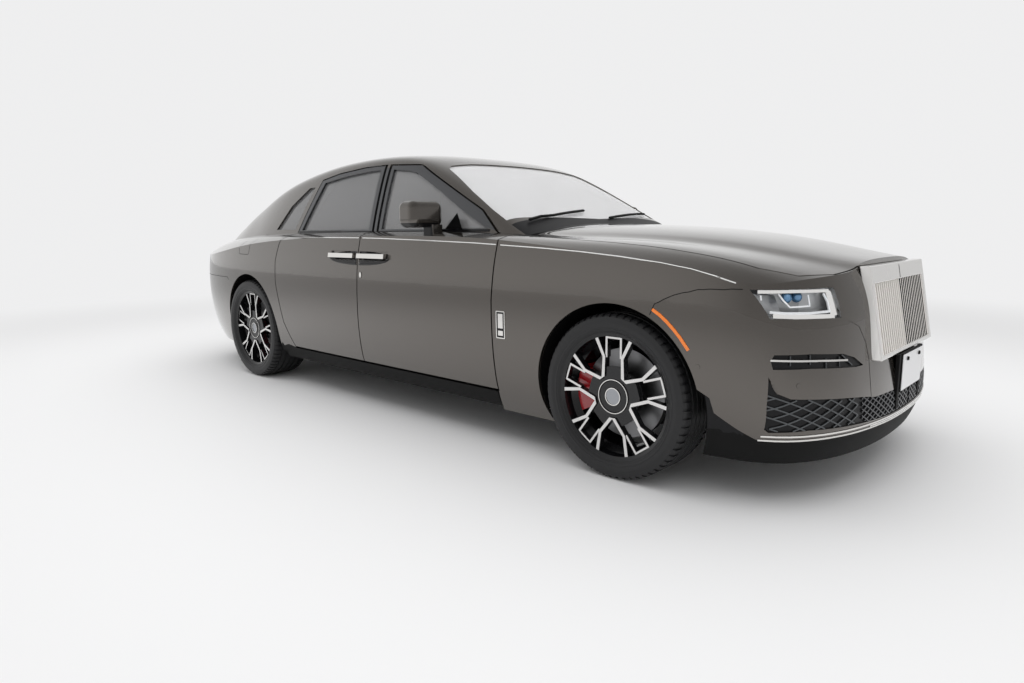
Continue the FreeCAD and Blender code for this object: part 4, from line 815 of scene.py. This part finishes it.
class SALOON_OT_dress_flanks(bpy.types.Operator):
    """Adds the coach lines, belts, handle cups, locks, plaque, seams, flap and wipers"""

    bl_idname = "saloon.dress_flanks"
    bl_label = "Dress the flanks"

    def execute(self, context):
        settings = context.scene.saloon_trim
        for word, side in SIDES.items():
            self.add_coach_lines(word, side, settings)
            self.add_belts(word, side)
            self.add_cups(word, side)
            self.add_sail(word, side)
        self.add_plaque()
        self.add_flap()
        self.add_seams()
        self.add_wipers()
        return {"FINISHED"}

    def add_coach_lines(self, word, side, settings):
        runs = (
            ("rear", "body_sides", "body", ((-2.05, 1.012), (-1.70, 1.030), (-1.35, 1.041),
                                            (-1.005, 1.046))),
            ("rear_door", "rear_door_" + word, None, ((-0.985, 1.046), (-0.40, 1.047),
                                                      (-0.005, 1.045))),
            ("front_door", "front_door_" + word, None, ((0.006, 1.045), (0.21, 1.042),
                                                        (0.625, 1.032), (1.004, 1.021),
                                                        (1.158, 1.014))),
            ("wing", "front_fenders", "body", ((1.160, 1.0135), (1.445, 1.001),
                                               (1.673, 0.988), (1.881, 0.971),
                                               (2.069, 0.950), (2.20, 0.929),
                                               (2.30, 0.905), (2.375, 0.881))))
        for name, node, body, points in runs:
            shape = bmesh.new()
            flank_strip(shape, Skin(node), points, settings.coach_width, 0.0012, 0.0002,
                        0.03, side)
            add_piece("coach_line_" + name + "_" + word, shape, body or node, "coach_line")

    def add_belts(self, word, side):
        for door, near, far in (("rear_door_", -0.95, -0.02), ("front_door_", 0.02, 1.05)):
            shape = bmesh.new()
            flank_strip(shape, Skin(door + word), ((near, 1.0815), (far, 1.0815)), 0.013,
                        0.004, 0.001, 0.05, side)
            add_piece(door + "belt_" + word, shape, door + word, "gloss_black")

    def add_cups(self, word, side):
        centre, reach = (0.011, 0.925), (0.312, 0.042)
        for door, ahead in (("rear_door_", -1), ("front_door_", 1)):
            skin = Skin(door + word)
            shape = oval(skin, centre, reach, side, 0.0008, 0.0015, (0.0035, ahead))
            add_piece(door + "cup_" + word, shape, door + word, "gloss_black", smooth=True)
        shape = oval(Skin("front_door_" + word), (0.048, 0.827), (0.009, 0.017), side, 0.001,
                     0.003)
        add_piece("front_door_lock_" + word, shape, "front_door_" + word, "bright",
                  smooth=True)

    def add_sail(self, word, side):
        """Black corner plate behind the mirror's arm."""
        shape = bmesh.new()
        corners = [shape.verts.new((x, side * y, z)) for x, y, z in (
            (0.772, 0.818, 1.092), (0.636, 0.818, 1.092), (0.724, 0.806, 1.178))]
        face = shape.faces.new(corners)
        if face.normal.y * side < 0:
            face.normal_flip()
        bmesh.ops.solidify(shape, geom=shape.faces[:], thickness=0.004)
        add_piece("mirror_sail_" + word, shape, "front_door_" + word, "mat_black")

    def add_plaque(self):
        """Bare plaque on the right wing."""
        wing, side = Skin("front_fenders"), SIDES["right"]
        middle, near, far, foot, top = 1.215, 1.188, 1.242, 0.564, 0.694
        rim = bmesh.new()
        corners = ((near, top), (far, top), (far, foot), (near, foot), (near, top))
        for start, end in zip(corners, corners[1:]):
            flank_strip(rim, wing, (start, end), 0.005, 0.005, 0.001, 0.06, side)
        for low, high in ((0.683, 0.612), (0.600, 0.576)):
            flank_strip(rim, wing, ((middle, low), (middle, high)), 0.032, 0.004, 0.001, 0.06,
                        side)
        add_piece("wing_plaque_right", rim, "body", "bright")
        bed = bmesh.new()
        flank_strip(bed, wing, ((middle, 0.693), (middle, 0.565)), 0.052, 0.002, 0.0006, 0.06,
                    side)
        add_piece("wing_plaque_bed_right", bed, "body", "gloss_black")

    def add_seams(self):
        """Dark lines where the bumpers' skins meet the wings."""
        foot, rise, rises, stride = 0.56, 0.003, 125, 0.02
        for word, side in SIDES.items():
            for name, other, near, far in (
                    ("front_bumper", "front_fenders", 2.04, 2.40),
                    ("rear_bumper", "body_sides", -2.60, -1.80)):
                own, wing = Skin(name), Skin(other)
                steps = round((far - near) / stride)
                points = []
                for step in range(steps + 1):
                    x = near + (far - near) * step / steps
                    found = [z for z in (foot + rise * count for count in range(rises))
                             if self.outer(own, wing, x, z, side)]
                    if found:
                        points.append((x, max(found) + rise / 2))
                shape = bmesh.new()
                flank_strip(shape, Skin(name, other), points, 0.0035, 0.001, 0.0, 0.03, side)
                add_piece(name + "_seam_" + word, shape, "body", "mat_black")

    def outer(self, own, other, x, z, side):
        """True where the first skin lies outside the second."""
        one, two = own.flank(x, z, side), other.flank(x, z, side)
        return bool(one) and (two is None or abs(one[0].y) >= abs(two[0].y))

    def add_flap(self):
        shape = bmesh.new()
        flank_strip(shape, Skin("body_sides"),
                    ((-1.600, 1.020), (-1.585, 0.930), (-1.570, 0.923), (-1.435, 0.921),
                     (-1.420, 0.930), (-1.405, 1.030)), 0.0035, 0.0008, 0.0, 0.02, -1)
        add_piece("fuel_flap_line", shape, "body", "mat_black")

    def add_wipers(self):
        glass = Skin("windscreen", "cowl_panel")
        shape = bmesh.new()
        for start, end in (((1.075, -0.62), (0.995, -0.05)), ((1.075, 0.10), (0.985, 0.62))):
            hits = [glass.above(x, y) for x, y in dense((start, end), 0.06)]
            sweep(shape, lifted(hits, 0.014), 0.012, 0.010)
        add_piece("wipers", shape, "body", "mat_black")


class SALOON_OT_dress_tail(bpy.types.Operator):
    """Adds the rear line and reflectors"""

    bl_idname = "saloon.dress_tail"
    bl_label = "Dress the tail"

    def execute(self, context):
        settings = context.scene.saloon_trim
        bumper = Skin("rear_bumper")
        lines = bmesh.new()
        rear_strip(lines, bumper, ((-0.80, 0.262), (0.80, 0.262)), settings.line_width,
                   0.004, 0.001, 0.04)
        add_piece("rear_lip_line", lines, "body", "bright")
        for word, side in SIDES.items():
            lamp = bmesh.new()
            rear_strip(lamp, bumper, ((side * 0.62, 0.345), (side * 0.78, 0.350)), 0.016,
                       0.004, 0.001, 0.02)
            add_piece("rear_reflector_" + word, lamp, "body", "tail_glass")
        return {"FINISHED"}


class SALOON_OT_add_cabin(bpy.types.Operator):
    """Adds padded seats over the plain ones"""

    bl_idname = "saloon.add_cabin"
    bl_label = "Add the cabin"

    def execute(self, context):
        for word, side in SIDES.items():
            self.add_front_seat(word, side)
        self.add_rear_bench()
        return {"FINISHED"}

    def cushion(self, name, low, high, lean, soft, seams):
        """A crowned cushion with seams pressed in across it."""
        low, high = Vector(low), Vector(high)
        shape = bmesh.new()
        size = high - low
        middle = (low + high) / 2
        bmesh.ops.create_cube(
            shape, size=1, matrix=Matrix.Translation(middle) @ Matrix.Diagonal((*size, 1)))
        bmesh.ops.subdivide_edges(
            shape, edges=shape.edges[:], cuts=11, use_grid_fill=True)
        seam_reach = 0.06
        for vertex in shape.verts:
            share = [(vertex.co[axis] - middle[axis]) / (size[axis] / 2) for axis in range(3)]
            for axis in range(3):
                others = [share[other] for other in range(3) if other != axis]
                crown = 1 - 0.5 * (others[0] ** 4 + others[1] ** 4)
                vertex.co[axis] = middle[axis] + share[axis] * (
                    size[axis] / 2 - soft * (1 - max(crown, 0)))
            for seam in seams:
                near = abs(share[1] - seam)
                if near < seam_reach and abs(share[0]) < 0.95:
                    vertex.co.z -= soft * 0.25 * (1 - near / seam_reach) * max(share[2], 0)
            vertex.co.x += lean * (vertex.co.z - low.z)
        bmesh.ops.smooth_vert(
            shape, verts=shape.verts, factor=0.5, use_axis_x=True, use_axis_y=True,
            use_axis_z=True)
        piece = add_piece(name, shape, "body", "hide", smooth=True)

    def add_front_seat(self, word, side):
        near, far = sorted((side * 0.19, side * 0.73))
        middle, half, seams = (near + far) / 2, 0.13, (-0.4, 0.0, 0.4)
        self.cushion("front_cushion_" + word, (-0.03, near, 0.42), (0.50, far, 0.56), 0, 0.05,
                     seams)
        self.cushion("front_back_" + word, (-0.13, near, 0.52), (0.02, far, 1.10), -0.24, 0.05,
                     seams)
        self.cushion("front_headrest_" + word, (-0.26, middle - half, 1.11),
                     (-0.15, middle + half, 1.27), -0.1, 0.03, ())

    def add_rear_bench(self):
        half, seams = 0.56, (-0.5, 0.0, 0.5)
        self.cushion("rear_cushion", (-1.25, -half, 0.50), (-0.80, half, 0.62), 0, 0.05, seams)
        self.cushion("rear_back", (-1.30, -half, 0.60), (-1.17, half, 1.10), -0.22, 0.05,
                     seams)


class SALOON_OT_set_stage(bpy.types.Operator):
    """Makes the camera, the floor and the light"""

    bl_idname = "saloon.set_stage"
    bl_label = "Set the stage"

    def execute(self, context):
        settings = context.scene.saloon_stage
        self.add_camera(context, settings)
        self.add_floor(context, settings)
        self.add_world(context)
        self.add_light(context, settings)
        context.scene.view_settings.view_transform = "Standard"
        return {"FINISHED"}

    def add_camera(self, context, settings):
        yaw, pitch, roll = settings.camera_yaw, settings.camera_pitch, settings.camera_roll
        ahead = Vector((
            math.cos(pitch) * math.cos(yaw), math.cos(pitch) * math.sin(yaw), math.sin(pitch)))
        level = ahead.cross(Vector((0, 0, 1))).normalized()
        above = level.cross(ahead)
        right = level * math.cos(roll) + above * math.sin(roll)
        up = above * math.cos(roll) - level * math.sin(roll)
        data = bpy.data.cameras.new("photograph_camera")
        data.sensor_width = 36
        data.lens = settings.lens
        data.clip_end = 1000
        camera = bpy.data.objects.new("photograph_camera", data)
        context.scene.collection.objects.link(camera)
        turn = Matrix((right, up, -ahead)).transposed().to_4x4()
        camera.matrix_world = Matrix.Translation(Vector(settings.camera_place)) @ turn
        context.scene.camera = camera

    def add_floor(self, context, settings):
        shape = bmesh.new()
        bmesh.ops.create_grid(shape, x_segments=1, y_segments=1, size=settings.floor_size / 2)
        mesh = bpy.data.meshes.new("pale_floor")
        shape.to_mesh(mesh)
        shape.free()
        floor = bpy.data.objects.new("pale_floor", mesh)
        context.scene.collection.objects.link(floor)
        self.make_floor_finish(settings)
        coat(floor, "floor_white")

    def make_floor_finish(self, settings):
        """Pale floor near the car that meets the white background further off."""
        nodes, links = new_material("floor_white")
        shader = nodes["Principled BSDF"]
        shader.inputs["Base Color"].default_value = (0.84, 0.84, 0.845, 1)
        shader.inputs["Roughness"].default_value = 0.6
        place = nodes.new("ShaderNodeTexCoord")
        length = nodes.new("ShaderNodeVectorMath")
        length.operation = "LENGTH"
        links.new(place.outputs["Object"], length.inputs[0])
        fade = faded(nodes, links, length.outputs["Value"], settings.fade_start,
                     settings.fade_end)
        seen = seen_rays(nodes, links, nodes.new("ShaderNodeLightPath"))
        white = nodes.new("ShaderNodeEmission")
        white.inputs["Color"].default_value = BACKGROUND
        share = joined(nodes, links, "MULTIPLY", seen, fade)
        mix = mixed(nodes, links, share, shader.outputs[0], white.outputs[0])
        links.new(mix, nodes["Material Output"].inputs[0])

    def add_world(self, context):
        """White to the camera, graded in reflections and soft as light."""
        world = bpy.data.worlds.new("pale_world")
        context.scene.world = world
        world.use_nodes = True
        nodes, links = world.node_tree.nodes, world.node_tree.links
        nodes.clear()
        paths = nodes.new("ShaderNodeLightPath")
        view = nodes.new("ShaderNodeNewGeometry")
        parts = nodes.new("ShaderNodeSeparateXYZ")
        links.new(view.outputs["Incoming"], parts.inputs[0])
        along = faded(nodes, links, parts.outputs["X"], -0.5, 0.7, 0.52, 1.0)
        upward = faded(nodes, links, parts.outputs["Z"], -0.9, 0.0, 0.50, 0.90)
        white, graded, soft = (nodes.new("ShaderNodeBackground") for _ in range(3))
        white.inputs["Color"].default_value = BACKGROUND
        graded.inputs["Color"].default_value = (1, 1, 1, 1)
        soft.inputs["Color"].default_value = (1, 1, 1, 1)
        soft.inputs["Strength"].default_value = 0.7
        links.new(joined(nodes, links, "MULTIPLY", along, upward), graded.inputs["Strength"])
        lit = mixed(nodes, links, paths.outputs["Is Glossy Ray"], soft.outputs[0],
                    graded.outputs[0])
        shown = mixed(nodes, links, seen_rays(nodes, links, paths), lit, white.outputs[0])
        links.new(shown, nodes.new("ShaderNodeOutputWorld").inputs[0])

    def add_light(self, context, settings):
        lamp = bpy.data.lights.new("ceiling_panel", "AREA")
        lamp.shape = "RECTANGLE"
        lamp.size, lamp.size_y = 11, 8
        lamp.energy = settings.lamp_power
        panel = bpy.data.objects.new("ceiling_panel", lamp)
        context.scene.collection.objects.link(panel)
        panel.location = (0, 0, settings.lamp_height)
        panel.visible_glossy = False


class SALOON_PT_panel(bpy.types.Panel):
    """Shows a button for each of the saloon's steps"""

    bl_label = "Saloon"
    bl_idname = "SALOON_PT_panel"
    bl_space_type = "VIEW_3D"
    bl_region_type = "UI"
    bl_category = "Saloon"

    def draw(self, context):
        for operator in OPERATORS:
            self.layout.operator(operator.bl_idname)


OPERATORS = (
    SALOON_OT_finish_frame, SALOON_OT_finish_wheels, SALOON_OT_add_tyres,
    SALOON_OT_dress_nose, SALOON_OT_dress_flanks, SALOON_OT_dress_tail,
    SALOON_OT_add_cabin, SALOON_OT_set_stage)
GROUPS = {
    "saloon_finishes": SaloonFinishes, "saloon_tyres": SaloonTyres, "saloon_trim": SaloonTrim,
    "saloon_stage": SaloonStage}
CLASSES = (*GROUPS.values(), *OPERATORS, SALOON_PT_panel)


def register():
    for item in CLASSES:
        bpy.utils.register_class(item)
    for name, group in GROUPS.items():
        setattr(bpy.types.Scene, name, PointerProperty(type=group))


def unregister():
    for name in GROUPS:
        delattr(bpy.types.Scene, name)
    for item in reversed(CLASSES):
        bpy.utils.unregister_class(item)


def main():
    register()
    for operator in OPERATORS:
        group, name = operator.bl_idname.split(".")
        getattr(getattr(bpy.ops, group), name)()


if __name__ == "__main__":
    main()
